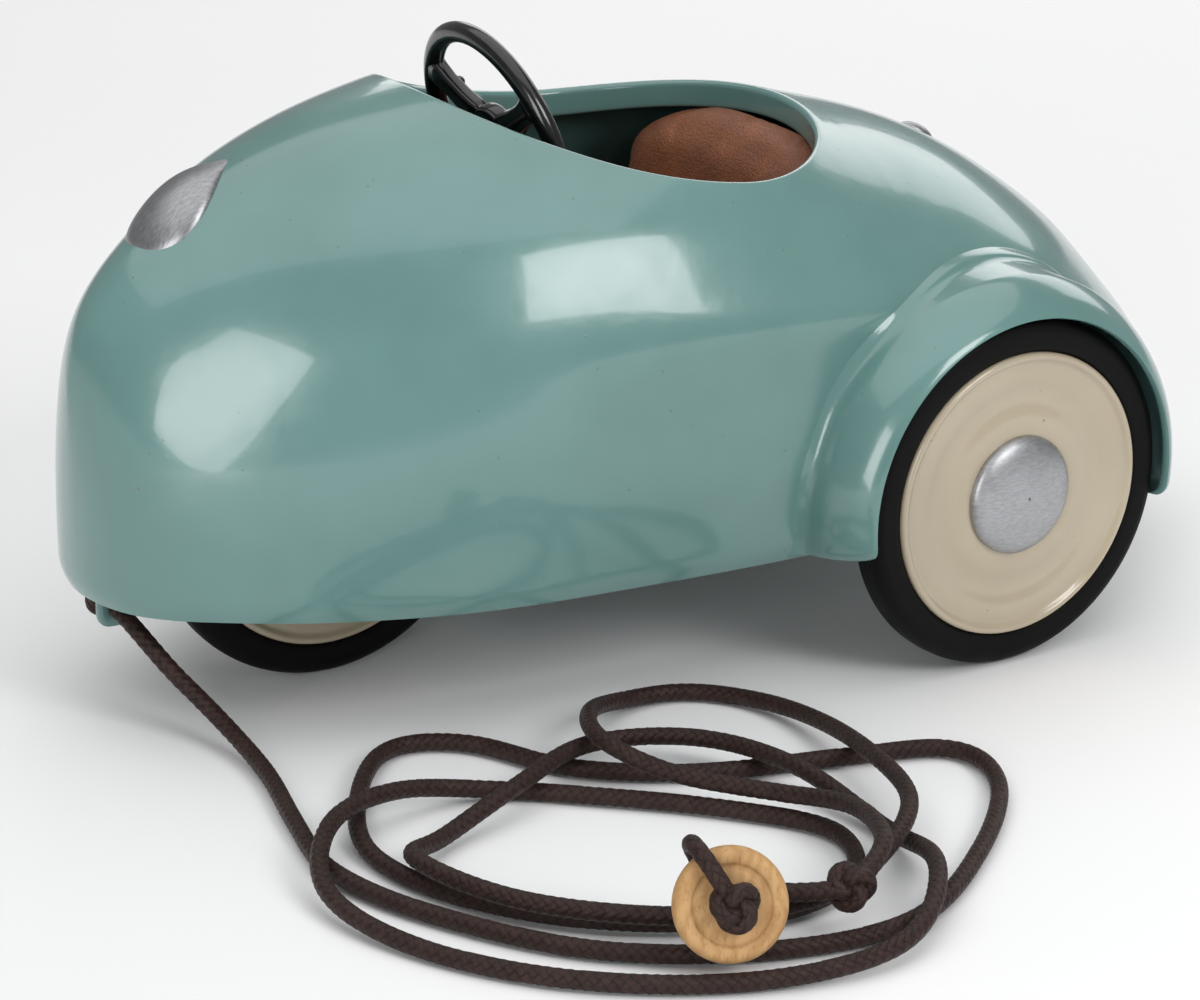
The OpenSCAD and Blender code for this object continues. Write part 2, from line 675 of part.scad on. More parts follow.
module axle(x, head_y) {
    on_axle(x, 0) {
        cylinder(h = 2 * head_y + eps, r = axle_r, center = true, $fn = round_fn);
        for (s = [0, 180])
            rotate([s, 0, 0])
                translate([0, 0, head_y])
                    rotate_extrude($fn = round_fn)
                        polygon([[0, 0], [head_r, 0], [head_r * 0.8, head_t * 0.7], [0, head_t]]);
    }
}
module front_axle() { color([0.6, 0.6, 0.62]) axle(front_x, front_head_y); }
module rear_axle() { color([0.6, 0.6, 0.62]) axle(rear_x, rear_head_y); }

module axle_spacers() {
    start = rear_hanger_y + bracket_t;
    finish = half_track + bush_in - end_gap / 2;
    color([0.55, 0.56, 0.57])
        for (s = [1, -1])
            on_axle(rear_x, 0, s)
                translate([0, 0, start])
                    difference() {
                        cylinder(h = finish - start, r = spacer_r, $fn = round_fn);
                        translate([0, 0, -1])
                            cylinder(h = finish - start + 2, r = axle_r, $fn = round_fn);
                    }
}

// ---- pull cord, its knots and the wooden button ----
// Route of the cord's centre: out of the tow tab, down to the floor, four loose turns
// beside the car, and up to the button that stands on them
route = [
    // lead
    [90, -4, 17], [90, 2, 16.8], [89, 7.5, 14.4], [86.5, 11.5, 10], [83.5, 16, 5.8],
    [82, 24, 2.6],
    [83, 35, 1.4], [87, 50, 1.4], [90, 66, 1.4],
    // first turn
    [85, 84, 1.4], [72, 104, 1.4], [52, 116, 1.4], [32, 118, 1.4], [12, 106, 1.4],
    [-4, 90, 1.4], [-6, 77, 1.4], [10, 71, 1.4], [30, 65, 1.4], [45, 54, 1.4],
    [53, 39, 1.4], [64, 35, 1.4], [76, 48, 2], [83, 64, 1.4],
    // second turn
    [79, 82, 1.4], [66, 98, 1.4], [48, 107, 1.4], [32, 104, 1.4], [25, 91, 1.4],
    [33, 78, 1.4], [46, 65, 1.4], [60, 54, 1.6], [74, 54, 4.6], [87, 60, 5.2], [95, 74, 2.8],
    // third turn
    [91, 92, 1.4], [78, 110, 1.4], [58, 122, 1.4], [38, 124, 2.5], [24, 112, 5],
    [19, 94, 1.6], [21, 76, 4.4], [27, 60, 4.2], [42, 54, 4.4], [58, 61, 4.4],
    [73, 66, 2], [82, 74, 4.6],
    // fourth turn, with the small loop on top
    [76, 92, 4.4], [60, 107, 4.4], [42, 111, 4.4], [28, 106, 5.6], [15, 94, 5.4],
    [10, 78, 5], [7, 61, 3], [8.5, 48, 1.6], [15.5, 39.5, 1.4], [26, 39, 2.2],
    [37, 46.5, 5.5], [43.5, 60, 7.6],
    [38, 70, 5], [29, 81, 4.4], [25, 94, 6.6], [30, 108, 8.8],
    // end, through the knot and the button
    [36, 113.4, 8.2], [41, 115.6, 7.4], [45.6, 114.4, 7.2], [49.5, 112, 7.2],
    [53, 110.4, 7.3], [56.2, 110.6, 7.6], [58.7, 112.5, 8.5], [60, 115.8, 9.8],
    [61.4, 119.2, 11.2]];
route_last = len(route) - 1;
cord_rings = 84;
cord_sides = 8;
knot_at = len(route) - 8;
button_at = len(route) - 2;
button_face = [0.35, 0.87, 0.35];
knot_r = 1.25 * cord_d;
button_hole_r = cord_d / 2;

function route_point(i) = i < 0 ? 2 * route[0] - route[1]
    : i > route_last ? 2 * route[route_last] - route[route_last - 1] : route[i];
function on_route(u) = let (i = min(floor(u), route_last - 1), f = u - i)
    smooth(route_point(i - 1), route_point(i), route_point(i + 1), route_point(i + 2), f);
function unit(v) = v / norm(v);
function heading(u) = unit(on_route(min(u + 0.05, route_last)) - on_route(max(u - 0.05, 0)));
function cord_ring(u) = let (c = on_route(u), t = heading(u), side = unit(cross(t, [0, 0, 1])),
        up = cross(side, t))
    [for (k = [0 : cord_sides - 1]) let (a = 360 * (k + 0.5) / cord_sides)
        c + cord_d / 2 * (cos(a) * side + sin(a) * up)];

module pull_cord() {
    color([0.20, 0.13, 0.11])
        skin([for (k = [0 : cord_rings]) cord_ring(route_last * k / cord_rings)]);
}

module facing(place, direction) {
    d = unit(direction);
    translate(place)
        rotate([0, acos(d[2]), atan2(d[1], d[0])])
            children();
}

module wooden_button() {
    r = button_d / 2;
    h = button_t / 2;
    color([0.74, 0.58, 0.37])
        facing(route[button_at], button_face)
            rotate_extrude($fn = 64)
                polygon([[button_hole_r, -h], [r - 1, -h], [r, -h + 0.8], [r, h - 0.8],
                    [r - 1, h], [r - 2.2, h], [r - 3.4, h - 0.5], [button_hole_r, h - 0.5]]);
}

module tab_knot() {
    color([0.20, 0.13, 0.11])
        translate([tab_x, -tab_t / 2 - knot_r, tab_hole_z])
            sphere(r = knot_r, $fn = 32);
}

module button_knot() {
    color([0.20, 0.13, 0.11])
        translate(route[button_at] + unit(button_face) * (button_t / 2 - 0.5 + knot_r))
            sphere(r = knot_r, $fn = 32);
}

module end_knot() {
    color([0.20, 0.13, 0.11])
        translate(route[knot_at])
            sphere(r = knot_r, $fn = 32);
}

body_shell();
floor_pan();
front_bulkhead();
left_fender();
right_fender();
headlamp();
tail_lamp();
tow_tab();
seat_pan();
seat_cushion();
seat_back();
column_bush();
steering_column();
steering_wheel();
steering_cap();
column_clips();
front_hangers();
front_axle();
front_tyre();
front_left_disc();
front_right_disc();
front_bush();
rear_hangers();
rear_axle();
axle_spacers();
rear_left_tyre();
rear_left_disc();
rear_left_backplate();
rear_left_bush();
rear_left_cap();
rear_right_tyre();
rear_right_disc();
rear_right_backplate();
rear_right_bush();
rear_right_cap();
floor_rivets();
pull_cord();
wooden_button();
tab_knot();
button_knot();
end_knot();
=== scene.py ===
"""Small pull-along toy car in pressed steel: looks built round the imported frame."""
import json
import math

import bmesh
import bpy
import numpy as np
from bpy.props import FloatProperty, IntProperty, PointerProperty
from mathutils import Matrix, Vector


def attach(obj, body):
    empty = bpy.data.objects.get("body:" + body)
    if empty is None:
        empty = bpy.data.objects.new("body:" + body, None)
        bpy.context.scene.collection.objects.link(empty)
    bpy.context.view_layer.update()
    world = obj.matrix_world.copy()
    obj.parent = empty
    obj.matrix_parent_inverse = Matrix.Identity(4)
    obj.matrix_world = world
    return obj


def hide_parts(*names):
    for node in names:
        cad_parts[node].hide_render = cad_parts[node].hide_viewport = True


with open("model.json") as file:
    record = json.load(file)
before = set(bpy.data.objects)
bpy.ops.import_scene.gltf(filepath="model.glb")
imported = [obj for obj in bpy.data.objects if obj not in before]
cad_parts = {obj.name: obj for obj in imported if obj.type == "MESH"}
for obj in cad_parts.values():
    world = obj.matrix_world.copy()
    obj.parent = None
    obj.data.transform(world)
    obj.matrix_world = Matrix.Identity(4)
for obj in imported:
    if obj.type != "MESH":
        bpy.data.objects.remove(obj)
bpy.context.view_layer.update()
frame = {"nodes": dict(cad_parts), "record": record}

bl_info = {
    "name": "Toy pull car",
    "version": (1, 0, 0),
    "blender": (4, 5, 0),
    "location": "3D View > Sidebar > Toy car",
    "description": "Builds a pressed-steel toy car with a padded seat and a pull cord",
    "category": "Object",
}

MM = 0.001

# Sizes shared with the frame, in millimetres
BODY_L, BODY_W, COWL_Z, SILL_Z, SHEET_T = 192.0, 86.0, 91.0, 20.0, 1.0
BULGE, CREASE_D, CREASE_Z = 0.055, 1.4, 56.0
COCKPIT_X, COCKPIT_FRONT, COCKPIT_REAR, COCKPIT_HALF = 1.5, 40.5, 28.0, 33.5
LIP_DEPTH = 4.0
TYRE_R, TYRE_W, HALF_TRACK, DISC_R = 27.5, 6.5, 50.2, 22.3
REAR_X, FRONT_X, AXLE_Z = -35.5, 55.5, 27.5
FENDER_R, FENDER_LIP_R, FENDER_T, FENDER_DROP = 33.0, 28.0, 1.0, 11.0
STEER_X, STEER_Z, TILT, STEER_R = 24.3, 79.2, 18.5, 17.0
CORD_D = 2.6

# Rows of the body from tail to nose: share of half-width, share of height, squareness
ROWS = np.array([
    [0.00, 0.16, 2.4], [0.37, 0.25, 2.0], [0.66, 0.39, 2.0], [0.86, 0.585, 2.4],
    [0.965, 0.75, 3.5], [1.00, 0.85, 4.4], [0.99, 0.95, 4.8], [0.945, 1.00, 4.0],
    [0.87, 0.965, 3.0], [0.71, 0.88, 2.35], [0.50, 0.745, 2.1], [0.29, 0.60, 2.2],
    [0.00, 0.42, 2.5]])
LAST = len(ROWS) - 1


# ---------------------------------------------------------------- body surface

def share(u, k):
    """Value k of the rows at place u, on a smooth curve through them."""
    rows = ROWS[:, k]
    padded = np.concatenate([[2 * rows[0] - rows[1]], rows, [2 * rows[-1] - rows[-2]]])
    i = np.clip(np.floor(u).astype(int), 0, LAST - 1)
    f = u - i
    a, b, c, d = (padded[i + n] for n in range(4))
    return 0.5 * (2 * b + (c - a) * f + (2 * a - 5 * b + 4 * c - d) * f ** 2
                  + (3 * b - a - 3 * c + d) * f ** 3)


def row_at(x, length=BODY_L):
    return np.degrees(np.arccos(np.clip(-2 * x / length, -1, 1))) / 180 * LAST


def side(x, u, angle, inset):
    """(y, z) of the skin at section angle in degrees."""
    rad = np.radians(angle)
    square = share(u, 2)
    height = np.sin(rad) ** (2 / square)
    half = np.maximum(share(u, 0) * BODY_W / 2 - inset, 0.3)
    top = SILL_Z + share(u, 1) * (COWL_Z - SILL_Z) - inset
    z = SILL_Z + height * (top - SILL_Z)
    grow = np.clip((0.52 * BODY_L / 2 - x) / (0.6 * BODY_L / 2), 0, 1)
    crease = CREASE_D * grow * (np.exp(-((z - CREASE_Z - 2) / 5) ** 2)
                                - 0.6 * np.exp(-((z - CREASE_Z + 9) / 7) ** 2))
    y = np.cos(rad) * (half * (1 + BULGE * np.sin(np.pi * height)) + crease)
    return y, z


def angle_at(x, y, inset=0.0, length=BODY_L):
    """Section angle at which the skin comes in to half-width y."""
    x, y = np.broadcast_arrays(np.asarray(x, float), np.abs(np.asarray(y, float)))
    u = row_at(x, length)
    low, high = np.zeros(x.shape), np.full(x.shape, 90.0)
    for _ in range(26):
        mid = (low + high) / 2
        outside = side(x, u, mid, inset)[0] > y
        low, high = np.where(outside, mid, low), np.where(outside, high, mid)
    return (low + high) / 2


def top_at(x, y):
    """Height of the outer skin over a place."""
    x = np.asarray(x, float)
    return side(x, row_at(x), angle_at(x, y), 0.0)[1]


def width_at(x, z):
    """Half-width of the outer skin at a place and height."""
    x, z = np.broadcast_arrays(np.asarray(x, float), np.asarray(z, float))
    u = row_at(x)
    low, high = np.zeros(x.shape), np.full(x.shape, 90.0)
    for _ in range(26):
        mid = (low + high) / 2
        under = side(x, u, mid, 0.0)[1] < z
        low, high = np.where(under, mid, low), np.where(under, high, mid)
    return side(x, u, (low + high) / 2, 0.0)[0]


# ---------------------------------------------------------------- mesh helpers

def make_mesh(name, points, faces, uvs=None, place=None):
    """A piece from points in millimetres, with outward normals and smooth shading."""
    mesh = bpy.data.meshes.new(name)
    mesh.from_pydata([tuple(float(c) * MM for c in p) for p in points], [], faces)
    if uvs is not None:
        layer = mesh.uv_layers.new(name="UVMap")
        for loop in mesh.loops:
            layer.data[loop.index].uv = uvs[loop.index]
    work = bmesh.new()
    work.from_mesh(mesh)
    bmesh.ops.remove_doubles(work, verts=work.verts, dist=1e-7)
    bmesh.ops.recalc_face_normals(work, faces=work.faces)
    for face in work.faces:
        face.smooth = True
    work.to_mesh(mesh)
    work.free()
    if place is not None:
        mesh.transform(place)
    mesh.update()
    obj = bpy.data.objects.new(name, mesh)
    bpy.context.scene.collection.objects.link(obj)
    return obj


def keep_corners(obj, angle=40.0):
    """Edges sharper than angle stay sharp under smooth shading."""
    work = bmesh.new()
    work.from_mesh(obj.data)
    for edge in work.edges:
        if len(edge.link_faces) == 2 and edge.calc_face_angle() > math.radians(angle):
            edge.smooth = False
    work.to_mesh(obj.data)
    work.free()
    return obj


def paint(obj, material):
    obj.data.materials.clear()
    obj.data.materials.append(material)
    return obj


def settle(obj, material, body, slot, *nodes):
    """Material, body, record slot (not used) and the CAD nodes that the piece stands for."""
    paint(obj, material)
    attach(obj, body)
    if nodes:
        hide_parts(*nodes)
    return obj


def round_off(points, passes=2, amount=0.25, closed=False):
    """Cuts the corners of an outline; an open one keeps its two ends."""
    pts = [tuple(p) for p in points]
    for _ in range(passes):
        out = [] if closed else [pts[0]]
        count = len(pts) if closed else len(pts) - 1
        for i in range(count):
            a, b = pts[i], pts[(i + 1) % len(pts)]
            out.append(tuple(p + (q - p) * amount for p, q in zip(a, b)))
            out.append(tuple(p + (q - p) * (1 - amount) for p, q in zip(a, b)))
        if not closed:
            out.append(pts[-1])
        pts = out
    return pts


def lathe(name, outline, steps=128, place=None, closed=True):
    """Turns (radius, height) round Z. A closed outline makes a ring."""
    n = len(outline)
    points, faces = [], []
    for k in range(steps):
        a = 2 * math.pi * k / steps
        points += [(r * math.cos(a), r * math.sin(a), h) for r, h in outline]
    spans = n if closed else n - 1
    for k in range(steps):
        m = (k + 1) % steps
        faces += [(k * n + i, k * n + (i + 1) % n, m * n + (i + 1) % n, m * n + i)
                  for i in range(spans)]
    return make_mesh(name, points, faces, place=place)


def on_axle(x, y, flip=False):
    """Local Z becomes the outward side of a wheel at this place."""
    turn = Matrix.Rotation(math.radians(90 if flip else -90), 4, "X")
    return Matrix.Translation((x * MM, y * MM, AXLE_Z * MM)) @ turn


def along_column(d):
    """Local Z runs down the column from the steering wheel's centre."""
    rad = math.radians(TILT)
    spot = Vector((STEER_X + d * math.cos(rad), 0, STEER_Z - d * math.sin(rad))) * MM
    return Matrix.Translation(spot) @ Matrix.Rotation(math.radians(90 + TILT), 4, "Y")


# ---------------------------------------------------------------- shader maths

class Sock:
    """A socket, or a number, that maths can be written with."""

    def __init__(self, tree, socket):
        self.tree, self.socket = tree, socket

    def _math(self, kind, *others):
        node = self.tree.nodes.new("ShaderNodeMath")
        node.operation = kind
        for i, item in enumerate((self,) + others):
            self.tree.put(node.inputs[i], item)
        return Sock(self.tree, node.outputs[0])

    def __add__(self, o): return self._math("ADD", o)
    def __radd__(self, o): return self._math("ADD", o)
    def __sub__(self, o): return self._math("SUBTRACT", o)
    def __rsub__(self, o): return (self * -1) + o
    def __mul__(self, o): return self._math("MULTIPLY", o)
    def __rmul__(self, o): return self._math("MULTIPLY", o)
    def __truediv__(self, o): return self._math("DIVIDE", o)
    def __pow__(self, o): return self._math("POWER", o)
    def above(self, o): return self._math("GREATER_THAN", o)
    def smaller(self, o): return self._math("MINIMUM", o)
    def larger(self, o): return self._math("MAXIMUM", o)
    def sine(self): return self._math("SINE")
    def size(self): return self._math("ABSOLUTE")
    def frac(self): return self._math("FRACT")
    def floor(self): return self._math("FLOOR")

    def between(self, low, high):
        """0 below low, 1 above high, smooth in between."""
        node = self.tree.nodes.new("ShaderNodeMapRange")
        node.interpolation_type = "SMOOTHSTEP"
        self.tree.put(node.inputs["Value"], self)
        node.inputs["From Min"].default_value = low
        node.inputs["From Max"].default_value = high
        return Sock(self.tree, node.outputs["Result"])


class Shader:
    """A material's node tree with one way to add nodes."""

    def __init__(self, name):
        self.material = bpy.data.materials.new(name)
        self.material.use_nodes = True
        self.nodes = self.material.node_tree.nodes
        self.links = self.material.node_tree.links
        self.nodes.clear()
        self.out = self.nodes.new("ShaderNodeOutputMaterial")
        self.main = self.nodes.new("ShaderNodeBsdfPrincipled")
        self.links.new(self.main.outputs[0], self.out.inputs["Surface"])

    def put(self, target, item):
        if isinstance(item, Sock):
            self.links.new(item.socket, target)
        else:
            target.default_value = item

    def add(self, kind, settings=None, output=0, **inputs):
        node = self.nodes.new(kind)
        for key, item in (settings or {}).items():
            setattr(node, key, item)
        for key, item in inputs.items():
            self.put(node.inputs[key.replace("_", " ")], item)
        return Sock(self, node.outputs[output])

    def place(self, scale=(1, 1, 1), turn=(0, 0, 0)):
        """Object coordinates in millimetres, turned and stretched."""
        coord = self.add("ShaderNodeTexCoord", output="Object")
        return self.add("ShaderNodeMapping", Vector=coord, Rotation=turn,
                        Scale=tuple(1000 * s for s in scale))

    def uv(self):
        coord = self.add("ShaderNodeTexCoord", output="UV")
        node = self.nodes.new("ShaderNodeSeparateXYZ")
        self.put(node.inputs[0], coord)
        return Sock(self, node.outputs[0]), Sock(self, node.outputs[1])

    def axes(self, vector):
        node = self.nodes.new("ShaderNodeSeparateXYZ")
        self.put(node.inputs[0], vector)
        return [Sock(self, o) for o in node.outputs]

    def noise(self, vector, scale, detail=2.0, rough=0.5):
        return self.add("ShaderNodeTexNoise", Vector=vector, Scale=scale, Detail=detail,
                        Roughness=rough)

    def cells(self, vector, scale, feature="F1", random=1.0):
        return self.add("ShaderNodeTexVoronoi", {"feature": feature}, Vector=vector,
                        Scale=scale, Randomness=random)

    def mix(self, factor, a, b):
        node = self.nodes.new("ShaderNodeMix")
        node.data_type = "RGBA"
        self.put(node.inputs[0], factor)
        self.put(node.inputs[6], a)
        self.put(node.inputs[7], b)
        return Sock(self, node.outputs[2])

    def bump(self, height, distance, strength=1.0):
        """Height in the range 0 to 1 over a distance in millimetres."""
        return self.add("ShaderNodeBump", Height=height, Distance=distance * MM,
                        Strength=strength)

    def finish(self, **inputs):
        for key, item in inputs.items():
            self.put(self.main.inputs[key.replace("_", " ")], item)
        return self.material


def rgb(r, g, b):
    """Display colour out of 255 as linear RGBA."""
    def line(c):
        c /= 255
        return c / 12.92 if c <= 0.04045 else ((c + 0.055) / 1.055) ** 2.4
    return (line(r), line(g), line(b), 1.0)


# ---------------------------------------------------------------- materials

def enamel(name, light, dark, speck_share=0.5):
    """Glossy stoved paint: faint waves, fine peel, and tiny dust specks."""
    s = Shader(name)
    p = s.place()
    drift = s.noise(p, 0.035, 3)
    base = s.mix(drift.between(0.3, 0.7), light, dark)
    spots = s.cells(p, 0.32)
    gate = s.noise(p, 0.21, 1)
    speck = (1 - spots.between(0.03, 0.09)) * gate.above(speck_share)
    base = s.mix(speck * 0.5, base, rgb(84, 104, 92))
    rust = (1 - s.cells(p, 0.11).between(0.012, 0.03)) * 0.8
    base = s.mix(rust, base, rgb(120, 92, 66))
    wave = s.noise(p, 0.09, 2)
    peel = s.noise(p, 1.1, 2)
    height = wave * 0.75 + s.noise(p, 0.42, 2) * 0.1 + peel * 0.035 + speck * 0.1
    rough = 0.16 + s.noise(p, 0.25, 2) * 0.09
    return s.finish(Base_Color=base, Roughness=rough, Coat_Weight=0.55, Coat_Roughness=0.06,
                    Specular_IOR_Level=0.5, Normal=s.bump(height, 0.35, 0.6))


def rubber():
    s = Shader("rubber")
    p = s.place()
    grain = s.noise(p, 2.6, 3)
    dust = s.noise(p, 0.12, 3).between(0.45, 0.75)
    base = s.mix(dust * 0.35, rgb(5, 5, 5), rgb(18, 18, 17))
    return s.finish(Base_Color=base, Roughness=0.55 + dust * 0.16, Specular_IOR_Level=0.14,
                    Normal=s.bump(grain, 0.05, 0.5))


def brushed(name, tone, turn=(0, 0, 0), stretch=(1, 1, 14), rough=0.3, low=0.72):
    """Silvered metal with fine lines that run one way and soft clouding."""
    s = Shader(name)
    lines = s.noise(s.place(stretch, turn), 0.9, 4, 0.6)
    cloud = s.noise(s.place(), 0.3, 3)
    base = s.mix(lines.between(0.3, 0.72), rgb(*[c * low for c in tone]), rgb(*tone))
    base = s.mix(cloud.between(0.45, 0.8) * 0.35, base, rgb(*[c * 0.82 for c in tone]))
    return s.finish(Base_Color=base, Metallic=0.9,
                    Roughness=rough + lines * 0.16 + cloud * 0.06,
                    Normal=s.bump(lines, 0.03, 0.6))


def black_gloss():
    s = Shader("black_enamel")
    p = s.place()
    wave = s.noise(p, 0.35, 2)
    base = s.mix(s.noise(p, 0.8, 2).between(0.4, 0.7), rgb(9, 9, 10), rgb(19, 19, 20))
    return s.finish(Base_Color=base, Roughness=0.17 + wave * 0.12, Coat_Weight=0.5,
                    Coat_Roughness=0.08, Normal=s.bump(wave + s.noise(p, 1.6, 2) * 0.2, 0.08, 0.6))


def leather():
    """Brown hide: pebbled grain of two sizes, creases and warm mottling, with painted shade darkening
    the grain's hollows and the creases.
    """
    s = Shader("hide")
    p = s.place()
    bend = s.noise(p, 0.16, 3)
    pebble = s.cells(p, 1.3, "DISTANCE_TO_EDGE")
    fine = s.cells(p, 2.7, "DISTANCE_TO_EDGE")
    fold = (s.noise(s.place((1, 0.32, 1), (0.3, 0.2, 0.7)), 0.26, 4).size() - 0.5).size()
    crease = 1 - fold.between(0.0, 0.035)
    height = pebble.between(0.0, 0.16) * 0.5 + fine.between(0.0, 0.2) * 0.25 - crease * 0.2
    base = s.mix(bend.between(0.3, 0.7), rgb(142, 78, 34), rgb(122, 64, 27))
    # painted shade: the hollows between the pebbles are darkened
    base = s.mix((1 - pebble.between(0.0, 0.1)) * 0.3, base, rgb(70, 36, 16))
    # painted shade: the creases are darkened
    base = s.mix(crease * 0.12, base, rgb(76, 38, 16))
    return s.finish(Base_Color=base, Roughness=0.4 + bend * 0.14, Specular_IOR_Level=0.55,
                    Sheen_Weight=0.08, Normal=s.bump(height, 0.16, 0.8))


def waxed_cord():
    """Braided, waxed cotton: rounded strands that pass over and under, with painted shade in the
    grooves between strands and painted light on the strands' crowns.
    """
    s = Shader("cord")
    u, v = s.uv()
    p = s.place()
    first, second = u + v, u - v
    odd = ((first.floor() + second.floor()) * 0.5).frac().above(0.25)
    ridge = s.mix(odd, bend_of(s, first), bend_of(s, second))
    ridge = s.axes(ridge)[0]
    hair = s.noise(p, 5.0, 3)
    wax = s.noise(p, 0.5, 3)
    height = ridge * 0.8 + hair * 0.3
    # painted shade and light: darker in the grooves between strands, lighter on the strands' crowns
    base = s.mix(ridge.between(0.1, 0.9), rgb(22, 13, 11), rgb(48, 30, 26))
    base = s.mix(wax.between(0.4, 0.75) * 0.4, base, rgb(64, 44, 38))
    base = s.mix(hair.between(0.62, 0.75) * 0.35, base, rgb(92, 68, 60))
    return s.finish(Base_Color=base, Roughness=0.62 - wax * 0.18, Specular_IOR_Level=0.25,
                    Sheen_Weight=0.04, Normal=s.bump(height, 0.14, 0.9))


def bend_of(s, place):
    """Rounded ridge once per strand."""
    return 1 - ((place.frac() * 2 - 1) ** 2)


def turned_wood():
    """Pale close-grained wood with fine pores."""
    s = Shader("wood")
    turn = (0.5, 0.25, 0.4)
    p = s.place((1, 1, 1), turn)
    warp = s.noise(p, 0.16, 2)
    rings = ((s.axes(p)[0] * 0.5 + warp * 3.2).frac() * 2 - 1).size()
    fibre = s.noise(s.place((3.2, 3.2, 0.25), turn), 0.9, 4, 0.65)
    base = s.mix(rings.between(0.1, 0.95), rgb(198, 158, 108), rgb(186, 144, 94))
    base = s.mix(fibre.between(0.5, 0.72) * 0.55, base, rgb(140, 96, 54))
    base = s.mix(warp.between(0.5, 0.75) * 0.4, base, rgb(150, 108, 66))
    return s.finish(Base_Color=base, Roughness=0.5 + fibre * 0.14, Specular_IOR_Level=0.35,
                    Normal=s.bump(fibre, 0.09, 0.6))


def pale_floor():
    s = Shader("pale_floor")
    p = s.place()
    return s.finish(Base_Color=s.mix(s.noise(p, 0.004, 2), rgb(246, 246, 247),
                                     rgb(250, 250, 250)), Roughness=0.8)


def all_materials():
    teal, deep = rgb(105, 143, 139), rgb(97, 134, 130)
    return {
        "enamel": enamel("enamel", teal, deep),
        # inner_paint is the body teal darkened to about two thirds: painted shade for the parts
        # inside the body, which sit in shadow
        "inner_paint": enamel("inner_paint", rgb(70, 96, 92), rgb(60, 84, 81), 0.6),
        "cream": enamel("cream", rgb(184, 172, 149), rgb(176, 163, 140), 0.56),
        "rubber": rubber(),
        "silver": brushed("silver", (176, 177, 180), (0, 0, 0), (1, 9, 1), 0.26, 0.8),
        "cap_silver": brushed("cap_silver", (186, 187, 190), (0, 0, 0.4), (1, 1, 5), 0.3, 0.88),
        "steel": brushed("steel", (158, 160, 162), (0, 0, 0), (1, 8, 1), 0.36),
        "black_enamel": black_gloss(),
        "hide": leather(),
        "cord": waxed_cord(),
        "wood": turned_wood(),
        "floor": pale_floor(),
    }


MATERIALS = {}


# ---------------------------------------------------------------- node trees

def repeat_tree():
    """Repeats a piece round its own Z axis."""
    tree = bpy.data.node_groups.new("turn_about_axis", "GeometryNodeTree")
    face = tree.interface
    face.new_socket("Geometry", in_out="INPUT", socket_type="NodeSocketGeometry")
    face.new_socket("Count", in_out="INPUT", socket_type="NodeSocketInt").default_value = 3
    face.new_socket("Start angle", in_out="INPUT", socket_type="NodeSocketFloat")
    face.new_socket("Material", in_out="INPUT", socket_type="NodeSocketMaterial")
    face.new_socket("Geometry", in_out="OUTPUT", socket_type="NodeSocketGeometry")
    new = tree.nodes.new
    source, sink = new("NodeGroupInput"), new("NodeGroupOutput")
    dots, index = new("GeometryNodePoints"), new("GeometryNodeInputIndex")
    step, turn, start = new("ShaderNodeMath"), new("ShaderNodeMath"), new("ShaderNodeMath")
    spin, copy = new("ShaderNodeCombineXYZ"), new("GeometryNodeInstanceOnPoints")
    real, colour = new("GeometryNodeRealizeInstances"), new("GeometryNodeSetMaterial")
    step.operation, turn.operation, start.operation = "DIVIDE", "MULTIPLY", "ADD"
    step.inputs[0].default_value = 2 * math.pi
    link = tree.links.new
    link(source.outputs["Count"], dots.inputs["Count"])
    link(source.outputs["Count"], step.inputs[1])
    link(step.outputs[0], turn.inputs[0])
    link(index.outputs[0], turn.inputs[1])
    link(turn.outputs[0], start.inputs[0])
    link(source.outputs["Start angle"], start.inputs[1])
    link(start.outputs[0], spin.inputs["Z"])
    link(dots.outputs[0], copy.inputs["Points"])
    link(source.outputs["Geometry"], copy.inputs["Instance"])
    link(spin.outputs[0], copy.inputs["Rotation"])
    link(copy.outputs[0], real.inputs[0])
    link(real.outputs[0], colour.inputs["Geometry"])
    link(source.outputs["Material"], colour.inputs["Material"])
    link(colour.outputs[0], sink.inputs[0])
    return tree


def tube_tree():
    """Turns a line of edges into a round tube."""
    tree = bpy.data.node_groups.new("tube_along_line", "GeometryNodeTree")
    face = tree.interface
    face.new_socket("Geometry", in_out="INPUT", socket_type="NodeSocketGeometry")
    face.new_socket("Radius", in_out="INPUT", socket_type="NodeSocketFloat").default_value = 0.0004
    face.new_socket("Sides", in_out="INPUT", socket_type="NodeSocketInt").default_value = 12
    face.new_socket("Material", in_out="INPUT", socket_type="NodeSocketMaterial")
    face.new_socket("Geometry", in_out="OUTPUT", socket_type="NodeSocketGeometry")
    new = tree.nodes.new
    source, sink = new("NodeGroupInput"), new("NodeGroupOutput")
    curve, ring = new("GeometryNodeMeshToCurve"), new("GeometryNodeCurvePrimitiveCircle")
    sweep, real = new("GeometryNodeCurveToMesh"), new("GeometryNodeRealizeInstances")
    colour = new("GeometryNodeSetMaterial")
    sweep.inputs["Fill Caps"].default_value = True
    link = tree.links.new
    link(source.outputs["Geometry"], curve.inputs["Mesh"])
    link(source.outputs["Radius"], ring.inputs["Radius"])
    link(source.outputs["Sides"], ring.inputs["Resolution"])
    link(curve.outputs[0], sweep.inputs["Curve"])
    link(ring.outputs[0], sweep.inputs["Profile Curve"])
    link(sweep.outputs[0], real.inputs[0])
    link(real.outputs[0], colour.inputs["Geometry"])
    link(source.outputs["Material"], colour.inputs["Material"])
    link(colour.outputs[0], sink.inputs[0])
    return tree


